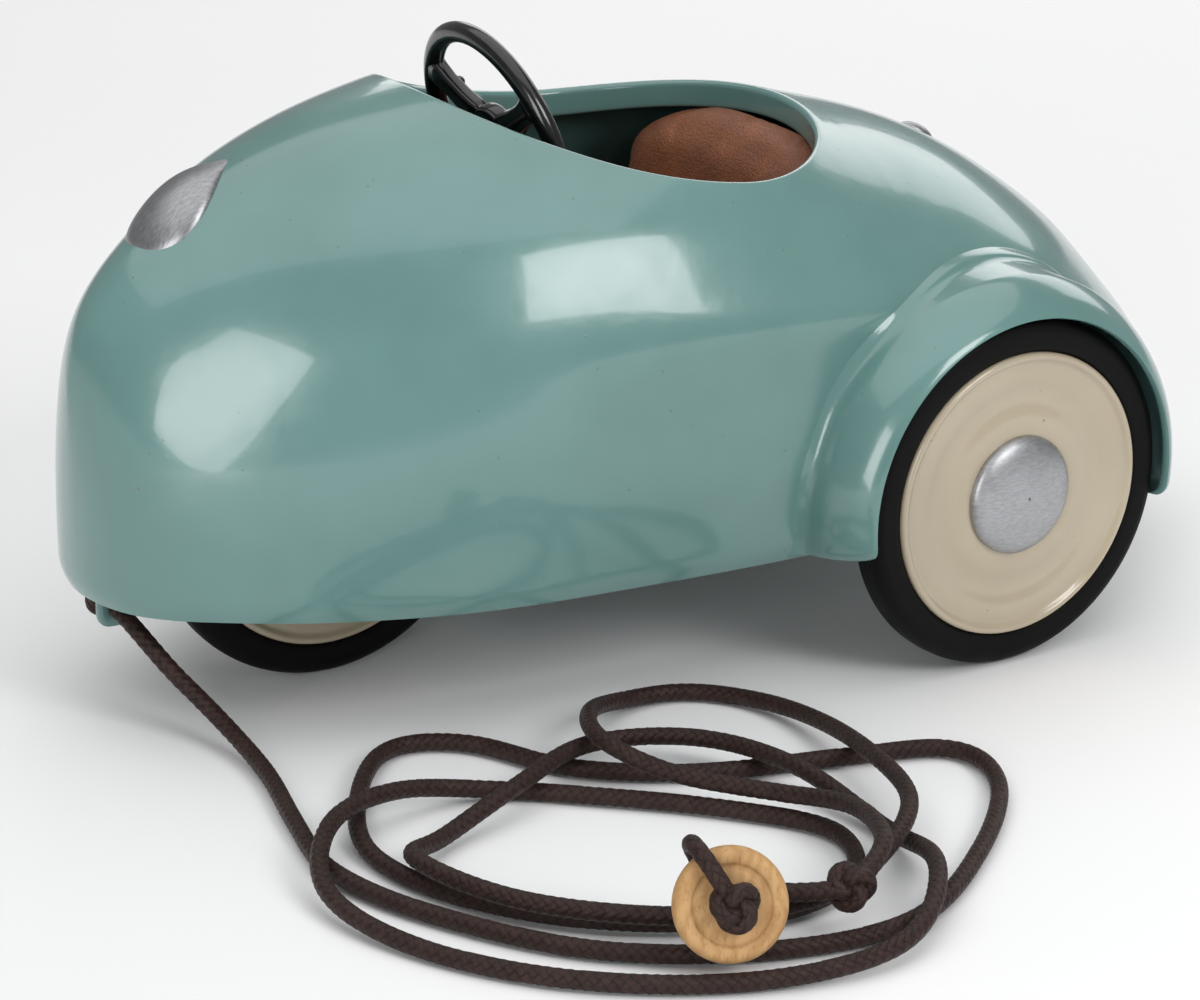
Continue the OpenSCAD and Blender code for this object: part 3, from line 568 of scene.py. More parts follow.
def through_tree(obj, tree, name, place=None, **inputs):
    """Runs a node tree on obj and keeps the result as a plain mesh piece."""
    modifier = obj.modifiers.new("shape", "NODES")
    modifier.node_group = tree
    for item in tree.interface.items_tree:
        if item.in_out == "INPUT" and item.name in inputs:
            modifier[item.identifier] = inputs[item.name]
    obj.update_tag()
    bpy.context.view_layer.update()
    graph = bpy.context.evaluated_depsgraph_get()
    mesh = bpy.data.meshes.new_from_object(obj.evaluated_get(graph), depsgraph=graph)
    bpy.data.objects.remove(obj)
    work = bmesh.new()
    work.from_mesh(mesh)
    bmesh.ops.recalc_face_normals(work, faces=work.faces)
    for part in work.faces:
        part.smooth = True
    work.to_mesh(mesh)
    work.free()
    if place is not None:
        mesh.transform(place)
    mesh.name = name
    piece = bpy.data.objects.new(name, mesh)
    bpy.context.scene.collection.objects.link(piece)
    return piece


# ---------------------------------------------------------------- the cord

ROUTE = [
    [90, -4, 17], [90, 2, 16.8], [89, 7.5, 14.4], [86.5, 11.5, 10], [83.5, 16, 5.8],
    [82, 24, 2.6], [83, 35, 1.4], [87, 50, 1.4], [90, 66, 1.4],
    [85, 84, 1.4], [72, 104, 1.4], [52, 116, 1.4], [32, 118, 1.4], [12, 106, 1.4],
    [-4, 90, 1.4], [-6, 77, 1.4], [10, 71, 1.4], [30, 65, 1.4], [45, 54, 1.4],
    [53, 39, 1.4], [64, 35, 1.4], [76, 48, 2], [83, 64, 1.4],
    [79, 82, 1.4], [66, 98, 1.4], [48, 107, 1.4], [32, 104, 1.4], [25, 91, 1.4],
    [33, 78, 1.4], [46, 65, 1.4], [60, 54, 1.6], [74, 54, 4.6], [87, 60, 5.2], [95, 74, 2.8],
    [91, 92, 1.4], [78, 110, 1.4], [58, 122, 1.4], [38, 124, 2.5], [24, 112, 5],
    [19, 94, 1.6], [21, 76, 4.4], [27, 60, 4.2], [42, 54, 4.4], [58, 61, 4.4],
    [73, 66, 2], [82, 74, 4.6],
    [76, 92, 4.4], [60, 107, 4.4], [42, 111, 4.4], [28, 106, 5.6], [15, 94, 5.4],
    [10, 78, 5], [7, 61, 3], [8.5, 48, 1.6], [15.5, 39.5, 1.4], [26, 39, 2.2],
    [37, 46.5, 5.5], [43.5, 60, 7.6], [38, 70, 5], [29, 81, 4.4], [25, 94, 6.6],
    [30, 108, 8.8],
    [36, 113.4, 8.2], [41, 115.6, 7.4], [45.6, 114.4, 7.2], [49.5, 112, 7.2],
    [53, 110.4, 7.3], [56.2, 110.6, 7.6], [58.7, 112.5, 8.5], [60, 115.8, 9.8],
    [61.4, 119.2, 11.2]]
BUTTON_AT = Vector((60, 115.8, 9.8))
BUTTON_FACE = Vector((0.35, 0.87, 0.35)).normalized()
END_KNOT_AT = Vector((41, 115.6, 7.4))


def curve_through(points, per=24):
    pts = np.array(points, float)
    pts = np.vstack([2 * pts[0] - pts[1], pts, 2 * pts[-1] - pts[-2]])
    f = np.arange(per)[:, None] / per
    out = []
    for i in range(1, len(pts) - 2):
        a, b, c, d = pts[i - 1:i + 3]
        out.append(0.5 * (2 * b + (c - a) * f + (2 * a - 5 * b + 4 * c - d) * f ** 2
                          + (3 * b - a - 3 * c + d) * f ** 3))
    return np.vstack(out + [pts[-2][None]])


def even_steps(line, step):
    """The same line with points a set distance apart."""
    run = np.concatenate([[0], np.cumsum(np.linalg.norm(np.diff(line, axis=0), axis=1))])
    count = max(int(round(run[-1] / step)), 2)
    want = np.linspace(0, run[-1], count + 1)
    return np.stack([np.interp(want, run, line[:, k]) for k in range(3)], axis=1), run[-1]


def relax(line, passes, closed=False):
    line = line.copy()
    for _ in range(passes):
        if closed:
            line = 0.5 * line + 0.25 * (np.roll(line, 1, 0) + np.roll(line, -1, 0))
        else:
            line[1:-1] = 0.5 * line[1:-1] + 0.25 * (line[:-2] + line[2:])
    return line


def carry_frame(line, closed=False):
    """Two directions square to the line, carried along it without twisting."""
    ahead = np.roll(line, -1, 0) - np.roll(line, 1, 0) if closed else np.gradient(line, axis=0)
    ahead /= np.linalg.norm(ahead, axis=1, keepdims=True)
    guide = np.array([0.0, 0, 1]) if abs(ahead[0][2]) < 0.9 else np.array([1.0, 0, 0])
    across = np.cross(ahead[0], guide)
    sides = []
    for t in ahead:
        across = across - t * across.dot(t)
        across /= np.linalg.norm(across)
        sides.append(across.copy())
    sides = np.array(sides)
    return sides, np.cross(sides, ahead)


def braid_height(u, v):
    """Relief of the braid at u strands round and v strands along, from 0 to 1."""
    first, second = u + v, u - v
    odd = (np.floor(first) + np.floor(second)) % 2 > 0.5
    pick = np.where(odd, first, second)
    return 1 - (2 * (pick - np.floor(pick)) - 1) ** 2


STRANDS = 5          # strands of each lay seen round the cord
STRAND_STEP = 1.55   # millimetres along the cord for one strand


def cord_tube(name, line, radius, sides=24, closed=False, relief=0.16, step=0.5):
    """Braided tube along a line, with its UV counted in strands."""
    n = len(line)
    left, up = carry_frame(line, closed)
    angle = np.arange(sides) / sides * 2 * np.pi
    u = angle / (2 * np.pi) * STRANDS
    points = []
    for i in range(n):
        h = braid_height(u, i * step / STRAND_STEP)
        r = radius - relief * (1 - h)
        if not closed and i in (0, n - 1):
            r = r * 0.75
        ring = line[i] + (np.cos(angle) * r)[:, None] * left[i] \
            + (np.sin(angle) * r)[:, None] * up[i]
        points.extend(ring)
    faces, uvs = [], []
    spans = n if closed else n - 1
    for i in range(spans):
        j = (i + 1) % n
        for k in range(sides):
            m = (k + 1) % sides
            faces.append((i * sides + k, i * sides + m, j * sides + m, j * sides + k))
            a, b = k / sides * STRANDS, (k + 1) / sides * STRANDS
            c, d = i * step / STRAND_STEP, (i + 1) * step / STRAND_STEP
            uvs += [(a, c), (b, c), (b, d), (a, d)]
    if not closed:
        for ring, flip in ((0, True), (n - 1, False)):
            centre = len(points)
            points.append(line[ring])
            for k in range(sides):
                m = (k + 1) % sides
                tri = (ring * sides + k, ring * sides + m, centre)
                faces.append(tri[::-1] if flip else tri)
                uvs += [(0, 0), (0.3, 0), (0.15, 0.3)]
    mesh = bpy.data.meshes.new(name)
    mesh.from_pydata([tuple(float(c) * MM for c in p) for p in points], [], faces)
    layer = mesh.uv_layers.new(name="UVMap")
    layer.data.foreach_set("uv", np.array(uvs, dtype=np.float32).ravel())
    mesh.polygons.foreach_set("use_smooth", [True] * len(mesh.polygons))
    mesh.update()
    if signed_volume(mesh) < 0:
        mesh.flip_normals()
    obj = bpy.data.objects.new(name, mesh)
    bpy.context.scene.collection.objects.link(obj)
    return obj


def signed_volume(mesh):
    co = np.empty(len(mesh.vertices) * 3)
    mesh.vertices.foreach_get("co", co)
    co = co.reshape(-1, 3)
    mesh.calc_loop_triangles()
    tri = np.empty(len(mesh.loop_triangles) * 3, dtype=np.int32)
    mesh.loop_triangles.foreach_get("vertices", tri)
    a, b, c = (co[tri.reshape(-1, 3)[:, k]] for k in range(3))
    return float(np.einsum("ij,ij->i", a, np.cross(b, c)).sum())


def knot_line(centre, axis, size, turn=0.0):
    """Closed line of a pulled-tight overhand knot."""
    t = np.linspace(0, 2 * np.pi, 150, endpoint=False)
    x = (2 + np.cos(3 * t)) * np.cos(2 * t)
    y = (2 + np.cos(3 * t)) * np.sin(2 * t)
    z = 1.25 * np.sin(3 * t)
    basis = Vector(axis).to_track_quat("Z", "Y").to_matrix()
    basis = np.array(basis @ Matrix.Rotation(turn, 3, "Z"))
    return np.array(centre) + (np.stack([x, y, z], axis=1) * size) @ basis.T


def knot(name, centre, axis, size, turn=0.0, radius=1.12):
    line = knot_line(centre, axis, size, turn)
    length = np.linalg.norm(np.roll(line, -1, 0) - line, axis=1).sum()
    obj = cord_tube(name, line, radius, 16, True, 0.1, length / len(line))
    return settle(obj, MATERIALS["cord"], "car", "cord")


# ---------------------------------------------------------------- settings

class CordSettings(bpy.types.PropertyGroup):
    smoothing: IntProperty(name="Smoothing", description="Passes that ease the cord's bends",
                           default=40, min=0, max=200)
    ring_step: FloatProperty(name="Ring step", description="Distance between the cord's rings",
                             default=0.0005, min=0.0002, max=0.002, unit="LENGTH",
                             subtype="DISTANCE")


class BodySettings(bpy.types.PropertyGroup):
    side_steps: IntProperty(name="Side steps", description="Steps from the sill to the top",
                            default=48, min=12, max=96)
    rim_steps: IntProperty(name="Rim steps", description="Steps along each side of the opening",
                           default=72, min=24, max=128)
    lip_radius: FloatProperty(name="Edge radius",
                              description="Rounding where the skin turns into the opening",
                              default=0.0009, min=0.0004, max=0.0015, unit="LENGTH",
                              subtype="DISTANCE")


class SeatSettings(bpy.types.PropertyGroup):
    pressure: FloatProperty(name="Pressure", description="Stuffing pressure in the cushions",
                            default=4.0, min=0.5, max=10.0)
    swell: FloatProperty(name="Swell limit", description="Furthest that the leather may move",
                         default=0.0016, min=0.0002, max=0.004, unit="LENGTH",
                         subtype="DISTANCE")


class StageSettings(bpy.types.PropertyGroup):
    softness: FloatProperty(name="Softness", description="Size of the soft lights",
                            default=1.0, min=0.3, max=3.0)


class Maker(bpy.types.Operator):
    """Shared base of the operators that build pieces"""
    bl_options = {"REGISTER"}

    def execute(self, context):
        self.build(context.scene)
        return {"FINISHED"}


class TOY_OT_stage(Maker):
    """Sets the floor, the soft lights and the camera"""
    bl_idname = "toy.stage"
    bl_label = "Stage"

    def build(self, scene):
        soft = scene.toy_stage.softness
        work = bmesh.new()
        bmesh.ops.create_grid(work, x_segments=12, y_segments=12, size=4.0)
        mesh = bpy.data.meshes.new("floor")
        work.to_mesh(mesh)
        work.free()
        floor = bpy.data.objects.new("floor", mesh)
        floor.location.z = -0.0002
        scene.collection.objects.link(floor)
        paint(floor, MATERIALS["floor"])

        world = bpy.data.worlds.new("pale_room")
        world.use_nodes = True
        world.node_tree.nodes["Background"].inputs["Color"].default_value = (1, 1, 1, 1)
        world.node_tree.nodes["Background"].inputs["Strength"].default_value = 0.25
        scene.world = world

        scene.view_settings.view_transform = "Standard"
        for name, target, azimuth, height, roll, reach, wide, tall, power in (
                ("side_light", (0.0, 0.043, 0.065), 100, 33, -8, 0.85, 0.34, 0.32, 2.6),
                ("nose_light", (0.075, 0.035, 0.05), 40, 13, -25, 0.75, 0.24, 0.40, 1.7),
                ("top_light", (0.0, 0.0, 0.0), -20, 84, 0, 1.50, 2.40, 2.40, 19.0),
                ("back_light", (0.0, 0.0, 0.055), -140, 24, 0, 1.10, 1.10, 0.40, 2.6)):
            data = bpy.data.lights.new(name, "AREA")
            data.shape = "RECTANGLE"
            data.size, data.size_y = wide * soft, tall * soft
            data.energy = power
            lamp = bpy.data.objects.new(name, data)
            a, e = math.radians(azimuth), math.radians(height)
            out = Vector((math.cos(a) * math.cos(e), math.sin(a) * math.cos(e), math.sin(e)))
            lamp.location = Vector(target) + out * reach
            turn = out.to_track_quat("Z", "Y").to_matrix() @ \
                Matrix.Rotation(math.radians(roll), 3, "Z")
            lamp.rotation_euler = turn.to_euler()
            scene.collection.objects.link(lamp)

        data = bpy.data.cameras.new("camera")
        data.sensor_fit = "HORIZONTAL"
        data.sensor_width = 36.0
        data.lens = 108.0
        data.clip_start, data.clip_end = 0.05, 20.0
        data.dof.use_dof = False
        camera = bpy.data.objects.new("camera", data)
        right = Vector((-0.84290, 0.53799, 0.00985)).normalized()
        back = Vector((0.50853, 0.79050, 0.34134)).normalized()
        up = back.cross(right).normalized()
        right = up.cross(back)
        turn = Matrix((right, up, back)).transposed()
        camera.matrix_world = Matrix.Translation((0.29523, 0.45018, 0.21210)) @ turn.to_4x4()
        scene.collection.objects.link(camera)
        scene.camera = camera


class TOY_OT_cord(Maker):
    """Builds the pull cord with its knots and its wooden button"""
    bl_idname = "toy.cord"
    bl_label = "Pull cord"

    def build(self, scene):
        wish = scene.toy_cord
        step = wish.ring_step / MM
        line, _ = even_steps(curve_through(ROUTE), step)
        line = relax(line, wish.smoothing)
        line[:, 2] = np.maximum(line[:, 2], CORD_D / 2 + 0.03)
        line, length = even_steps(line, step)
        cord = cord_tube("cord_braid", line, CORD_D / 2, 24, False, 0.16, step)
        settle(cord, MATERIALS["cord"], "car", "cord", "pull_cord")

        button = self.button()
        front = BUTTON_AT + BUTTON_FACE * 3.1
        tab = knot("knot_at_tab", (89.8, -4.2, 17), (0.2, 1, 0.1), 0.62)
        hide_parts("tab_knot")
        face = knot("knot_on_button", front, BUTTON_FACE, 0.82, 0.6)
        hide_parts("button_knot")
        end = knot("knot_by_button", END_KNOT_AT, (0.5, 0.8, 0.35), 0.80, 0.2)
        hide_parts("end_knot")
        strap = self.strap(front)

    def button(self):
        """Turned button: dished face with a raised rim and a drilled middle."""
        r, h, hole = 7.5, 1.6, 1.35
        outline = [(hole, -h + 0.1), (hole + 0.3, -h), (r - 1.1, -h), (r - 0.25, -h + 0.45),
                   (r, -h + 1.1), (r, h - 1.1), (r - 0.25, h - 0.45), (r - 0.9, h),
                   (r - 1.7, h), (r - 2.15, h - 0.14), (r - 2.4, h - 0.5), (r - 2.8, h - 0.6),
                   (r - 3.2, h - 0.5), (r - 3.6, h - 0.42), (hole + 0.5, h - 0.42),
                   (hole + 0.1, h - 0.6), (hole, h - 0.9)]
        place = Matrix.Translation(BUTTON_AT * MM) @ \
            BUTTON_FACE.to_track_quat("Z", "Y").to_matrix().to_4x4()
        button = lathe("button_turned", round_off(outline, 2, closed=True), 96, place)
        return settle(button, MATERIALS["wood"], "car", "wood", "wooden_button")

    def strap(self, front):
        """The short end that comes out of the knot and passes over the button's edge."""
        quat = BUTTON_FACE.to_track_quat("Z", "Y")
        right = Vector((-0.84290, 0.53799, 0.0))
        left = (-right - BUTTON_FACE * (-right).dot(BUTTON_FACE)).normalized()
        lift = (Vector((0, 0, 1)) - BUTTON_FACE * BUTTON_FACE.z).normalized()
        way = (left * 0.5 + lift * 0.87).normalized()
        spots = [front - BUTTON_FACE * 0.4, front + way * 3.4 + BUTTON_FACE * 0.35,
                 front + way * 6.3 - BUTTON_FACE * 0.1, front + way * 8.7 - BUTTON_FACE * 1.6,
                 front + way * 9.3 - BUTTON_FACE * 4.0, front + way * 7.8 - BUTTON_FACE * 6.4,
                 front + way * 4.4 - BUTTON_FACE * 7.0, front - BUTTON_FACE * 6.6]
        line, _ = even_steps(curve_through(spots), 0.5)
        strap = cord_tube("cord_strap", relax(line, 12), 1.2, 20, False, 0.12, 0.5)
        return settle(strap, MATERIALS["cord"], "car", "cord")


class TOY_OT_shell(Maker):
    """Builds the pressed body with its turned cockpit edge"""
    bl_idname = "toy.shell"
    bl_label = "Pressed body"

    def build(self, scene):
        wish = scene.toy_body
        n, rim = wish.side_steps, wish.rim_steps
        tail, nose = 40, 44
        lip_r = wish.lip_radius / MM

        def skin(inset, grow):
            length = BODY_L - 2 * inset
            rear = COCKPIT_X - COCKPIT_REAR - grow
            front = COCKPIT_X + COCKPIT_FRONT + grow
            stop = math.degrees(math.acos(-2 * rear / length))
            start = math.degrees(math.acos(-2 * front / length))
            rows, xs, open_row = [], [], []
            for k in range(tail):
                xs.append((-length / 2 * math.cos(math.radians(stop * k / tail)), None))
            for c in range(rim + 1):
                t = math.radians(180 * (1 - c / rim))
                reach = (COCKPIT_FRONT if math.cos(t) > 0 else COCKPIT_REAR) + grow
                edge = (COCKPIT_HALF + grow) * math.sin(t)
                xs.append((COCKPIT_X + reach * math.cos(t), edge if 0 < c < rim else None))
            for k in range(1, nose + 1):
                a = start + (180 - start) * k / nose
                xs.append((-length / 2 * math.cos(math.radians(a)), None))
            for x, edge in xs:
                u = float(row_at(np.array(x), length))
                end = 90.0 if edge is None else float(angle_at(x, edge, inset, length))
                power = float(share(np.array(u), 2)) / 2
                f = np.arange(n + 1) / n
                even = 0.75 * f ** power + 0.25 * f ** 2
                y, z = side(np.full(n + 1, x), np.full(n + 1, u), end * even, inset)
                tuck = np.clip((SILL_Z + 3 - z) / 3, 0, 1) ** 2
                rows.append(np.stack([x * (1 - 0.008 * tuck), y * (1 - 0.02 * tuck), z], axis=1))
                open_row.append(edge is not None)
            return rows, open_row

        points, faces = [], []
        size = 2 * n + 2
        bases = []
        for inset, grow in ((0.0, 0.0), (SHEET_T, 0.8)):
            rows, is_open = skin(inset, grow)
            bases.append(len(points))
            for row in rows:
                points.extend(row)
                points.extend(row[::-1] * np.array([1, -1, 1]))
        count = len(is_open)

        def at(base, k, i):
            return base + k * size + (n if i == n + 1 and not is_open[k] else i)

        for which, base in enumerate(bases):
            for k in range(count - 1):
                for i in range(size - 1):
                    if i != n:
                        faces.append((at(base, k, i), at(base, k + 1, i),
                                      at(base, k + 1, i + 1), at(base, k, i + 1)))
            for k in (0, count - 1):
                for i in range(n):
                    strip = (at(base, k, i), at(base, k, i + 1),
                             at(base, k, size - 2 - i), at(base, k, size - 1 - i))
                    faces.append(list(dict.fromkeys(strip)))
        for i in (0, size - 1):
            for k in range(count - 1):
                faces.append((at(bases[0], k, i), at(bases[1], k, i),
                              at(bases[1], k + 1, i), at(bases[0], k + 1, i)))
        for k in (0, count - 1):
            faces.append((at(bases[0], k, 0), at(bases[0], k, size - 1),
                          at(bases[1], k, size - 1), at(bases[1], k, 0)))

        rings = 2 * rim
        lip_start = len(points)
        lip_size = 0
        for j in range(rings):
            t = math.radians(180 - 180 * j / rim)
            reach = COCKPIT_FRONT if math.cos(t) > 0 else COCKPIT_REAR
            p = np.array([COCKPIT_X + reach * math.cos(t), COCKPIT_HALF * math.sin(t)])
            out = np.array([math.cos(t) / reach, math.sin(t) / COCKPIT_HALF])
            out /= np.linalg.norm(out)
            z0, z1 = (float(top_at(q[0], q[1])) for q in (p, p + out * 0.5))
            lean = math.atan((z0 - z1) / 0.5)
            chain = self.edge_chain(lean, lip_r)
            lip_size = len(chain)
            points.extend([(p[0] + out[0] * o, p[1] + out[1] * o, z0 + h) for o, h in chain])

        def rim_at(base, j):
            m = j % rings
            return at(base, tail + m, n) if m <= rim else at(base, tail + rings - m, n + 1)

        def lip_at(j, q):
            if q < 0:
                return rim_at(bases[0], j)
            if q >= lip_size:
                return rim_at(bases[1], j)
            return lip_start + (j % rings) * lip_size + q

        for j in range(rings):
            for q in range(-1, lip_size):
                faces.append((lip_at(j, q), lip_at(j + 1, q), lip_at(j + 1, q + 1),
                              lip_at(j, q + 1)))
        used = sorted({i for face in faces for i in face})
        renumber = {old: new for new, old in enumerate(used)}
        shell = make_mesh("shell_pressing", [points[i] for i in used],
                          [[renumber[i] for i in face] for face in faces])
        keep_corners(shell, 60)
        settle(shell, MATERIALS["enamel"], "car", "enamel", "body_shell")
        self.fenders()

    def edge_chain(self, lean, r):
        """From the skin over a rounded edge and down into the opening, [outward, up]."""
        chain = []
        for k in range(1, 10):
            a = lean - (lean + math.pi / 2) * k / 9
            chain.append((r * (math.sin(a) - math.sin(lean)), r * (math.cos(a) - math.cos(lean))))
        x, z = chain[-1]
        low = -LIP_DEPTH - 0.1
        chain += [(x, z + (low - z) * f) for f in (0.3, 0.6, 0.85)]
        chain += [(x + 0.06, low + 0.1), (x + 0.3, low - 0.1), (x + 0.6, low - 0.1),
                  (x + 0.85, low + 0.15), (x + 0.9, low + 0.6)]
        return chain

    def fenders(self):
        for name, s in (("fender_left", 1), ("fender_right", -1)):
            points, faces = [], []
            span = 180 + 2 * FENDER_DROP
            ends = [0, 0.4, 1, 1.8, 2.8, 4, 5.2]
            middle = list(np.linspace(6.5, span - 6.5, 108))
            turns = ends + middle + [span - e for e in reversed(ends)]
            steps = len(turns) - 1
            for k in range(steps + 1):
                a = turns[k] - FENDER_DROP
                ring = self.fender_ring(a)
                rad = math.radians(a)
                points += [(REAR_X + r * math.cos(rad), s * y, AXLE_Z + r * math.sin(rad))
                           for r, y in ring]
            n = len(points) // (steps + 1)
            for k in range(steps):
                for i in range(n):
                    j = (i + 1) % n
                    faces.append((k * n + i, k * n + j, (k + 1) * n + j, (k + 1) * n + i))
            faces.append(list(range(n)))
            faces.append(list(range(steps * n, (steps + 1) * n)))
            fender = make_mesh(name, points, faces)
            keep_corners(fender, 50)
            settle(fender, MATERIALS["enamel"], "car", "enamel", name.split("_")[1] + "_fender")

    def fender_ring(self, angle):
        """Outline of the fender's sheet at an angle round the axle, as (radius, y)."""
        rad = math.radians(angle)

        def body_y(r):
            return float(width_at(REAR_X + r * math.cos(rad),
                                  max(AXLE_Z + r * math.sin(rad), SILL_Z)))
        face = HALF_TRACK + TYRE_W / 2 + 1.8
        corner, band = FENDER_R - FENDER_LIP_R, 8.0
        root_r = FENDER_R + 2.6
        root, neck = body_y(root_r), body_y(FENDER_R)
        wide = max(root, neck)
        outer = [(root_r, root - 0.5), (root_r - 0.9, root + 0.05),
                 (FENDER_R + 1.1, wide + 0.35), (FENDER_R + 0.5, wide + 0.9),
                 (FENDER_R + 0.2, wide + 1.5), (FENDER_R + 0.05, wide + 2.2)]
        outer = round_off(outer, 2)

        def sweep(inset, steps):
            return [(FENDER_LIP_R + (corner - inset) * math.cos(a) ** 1.4,
                     face - band + (band - 1.6 * inset) * math.sin(a) ** 1.4)
                    for a in np.radians(steps)]
        arc = sweep(0.0, np.linspace(4, 88, 14))
        back = sweep(FENDER_T, np.linspace(88, 4, 14))
        edge = [(FENDER_LIP_R - 0.05, face - 0.2), (FENDER_LIP_R - 0.2, face - 0.6),
                (FENDER_LIP_R - 0.2, face - 1.1), (FENDER_LIP_R - 0.05, face - 1.45)]
        near_end = math.radians(90 + FENDER_DROP - abs(angle - 90)) * FENDER_R
        gap = max(3.0 - near_end, 0.0)
        cut = 3.0 - math.sqrt(9.0 - gap * gap)
        lip = [(r, y - cut) for r, y in arc + edge + back]
        return outer + lip + [(FENDER_R - FENDER_T, neck - 0.3)]


class TOY_OT_lamps(Maker):
    """Builds the silver teardrop lamps and the drilled tow tab"""
    bl_idname = "toy.lamps"
    bl_label = "Lamps and tow tab"

    def build(self, scene):
        for name, node, x, length, width, high, way in (
                ("lamp_front", "headlamp", 0.8 * BODY_L / 2, 17.0, 13.8, 3.0, 1),
                ("lamp_rear", "tail_lamp", -0.56 * BODY_L / 2, 7.0, 5.0, 1.6, -1)):
            lamp = self.teardrop(name, x, length, width, high, way)
            settle(lamp, MATERIALS["silver"], "car", "silver", node)
        self.tab()

    def teardrop(self, name, x0, length, width, high, way):
        rings, sides = 44, 40
        f = 0.5 - 0.5 * np.cos(np.linspace(0.07, math.pi - 0.06, rings))
        bulb = np.sqrt(np.maximum(1 - (1 - np.minimum(f / 0.36, 1)) ** 2, 0))
        taper = np.where(f < 0.36, 1, np.cos(np.pi / 2 * np.maximum(f - 0.36, 0) / 0.64) ** 1.3)
        share_w = bulb * taper
        e = np.cos(np.linspace(0, np.pi, sides + 1))
        points, faces = [], []
        for k in range(rings):
            x = x0 + way * length * (0.5 - f[k])
            y = width / 2 * share_w[k] * e
            base = top_at(np.full(sides + 1, x), y)
            dome = high * share_w[k] * np.maximum(1 - np.abs(e) ** 2.4, 0) ** 0.5
            points += [(x, a, b) for a, b in zip(y, base + dome - 0.4)]
            points += [(x, a, b) for a, b in zip(y[::-1], base[::-1] - 0.8)]
        n = 2 * (sides + 1)
        for k in range(rings - 1):
            for i in range(n):
                j = (i + 1) % n
                faces.append((k * n + i, k * n + j, (k + 1) * n + j, (k + 1) * n + i))
        faces += [list(range(n)), list(range((rings - 1) * n, rings * n))]
        return make_mesh(name, points, faces)

    def tab(self):
        x0, z0, hole = 0.935 * BODY_L / 2, SILL_Z - 3, CORD_D / 2
        half, low, high, thick = 3.0, -3.0, 5.0, 0.6
        steps = 64
        rim, bore = [], []
        for k in range(steps):
            a = 2 * math.pi * k / steps
            c, s = math.cos(a), math.sin(a)
            reach = min(half / max(abs(c), 1e-6), (high if s > 0 else -low) / max(abs(s), 1e-6))
            if s < 0:
                reach = (abs(c / half) ** 3.2 + abs(s / low) ** 3.2) ** (-1 / 3.2)
            rim.append((reach * c, reach * s))
            bore.append((hole * c, hole * s))
        loops = []
        for y, outline, shrink in ((-thick, bore, 1.06), (-thick, rim, 0.93), (-thick + 0.22, rim, 1),
                                   (thick - 0.22, rim, 1), (thick, rim, 0.93), (thick, bore, 1.06),
                                   (thick - 0.12, bore, 1), (-thick + 0.12, bore, 1)):
            loops.append([(x0 + p[0] * shrink, y, z0 + p[1] * shrink) for p in outline])
        points = [p for loop in loops for p in loop]
        faces = []
        for q in range(len(loops)):
            r = (q + 1) % len(loops)
            for k in range(steps):
                m = (k + 1) % steps
                faces.append((q * steps + k, q * steps + m, r * steps + m, r * steps + k))
        tab = make_mesh("tow_tab_pressed", points, faces)
        settle(tab, MATERIALS["enamel"], "car", "enamel", "tow_tab")


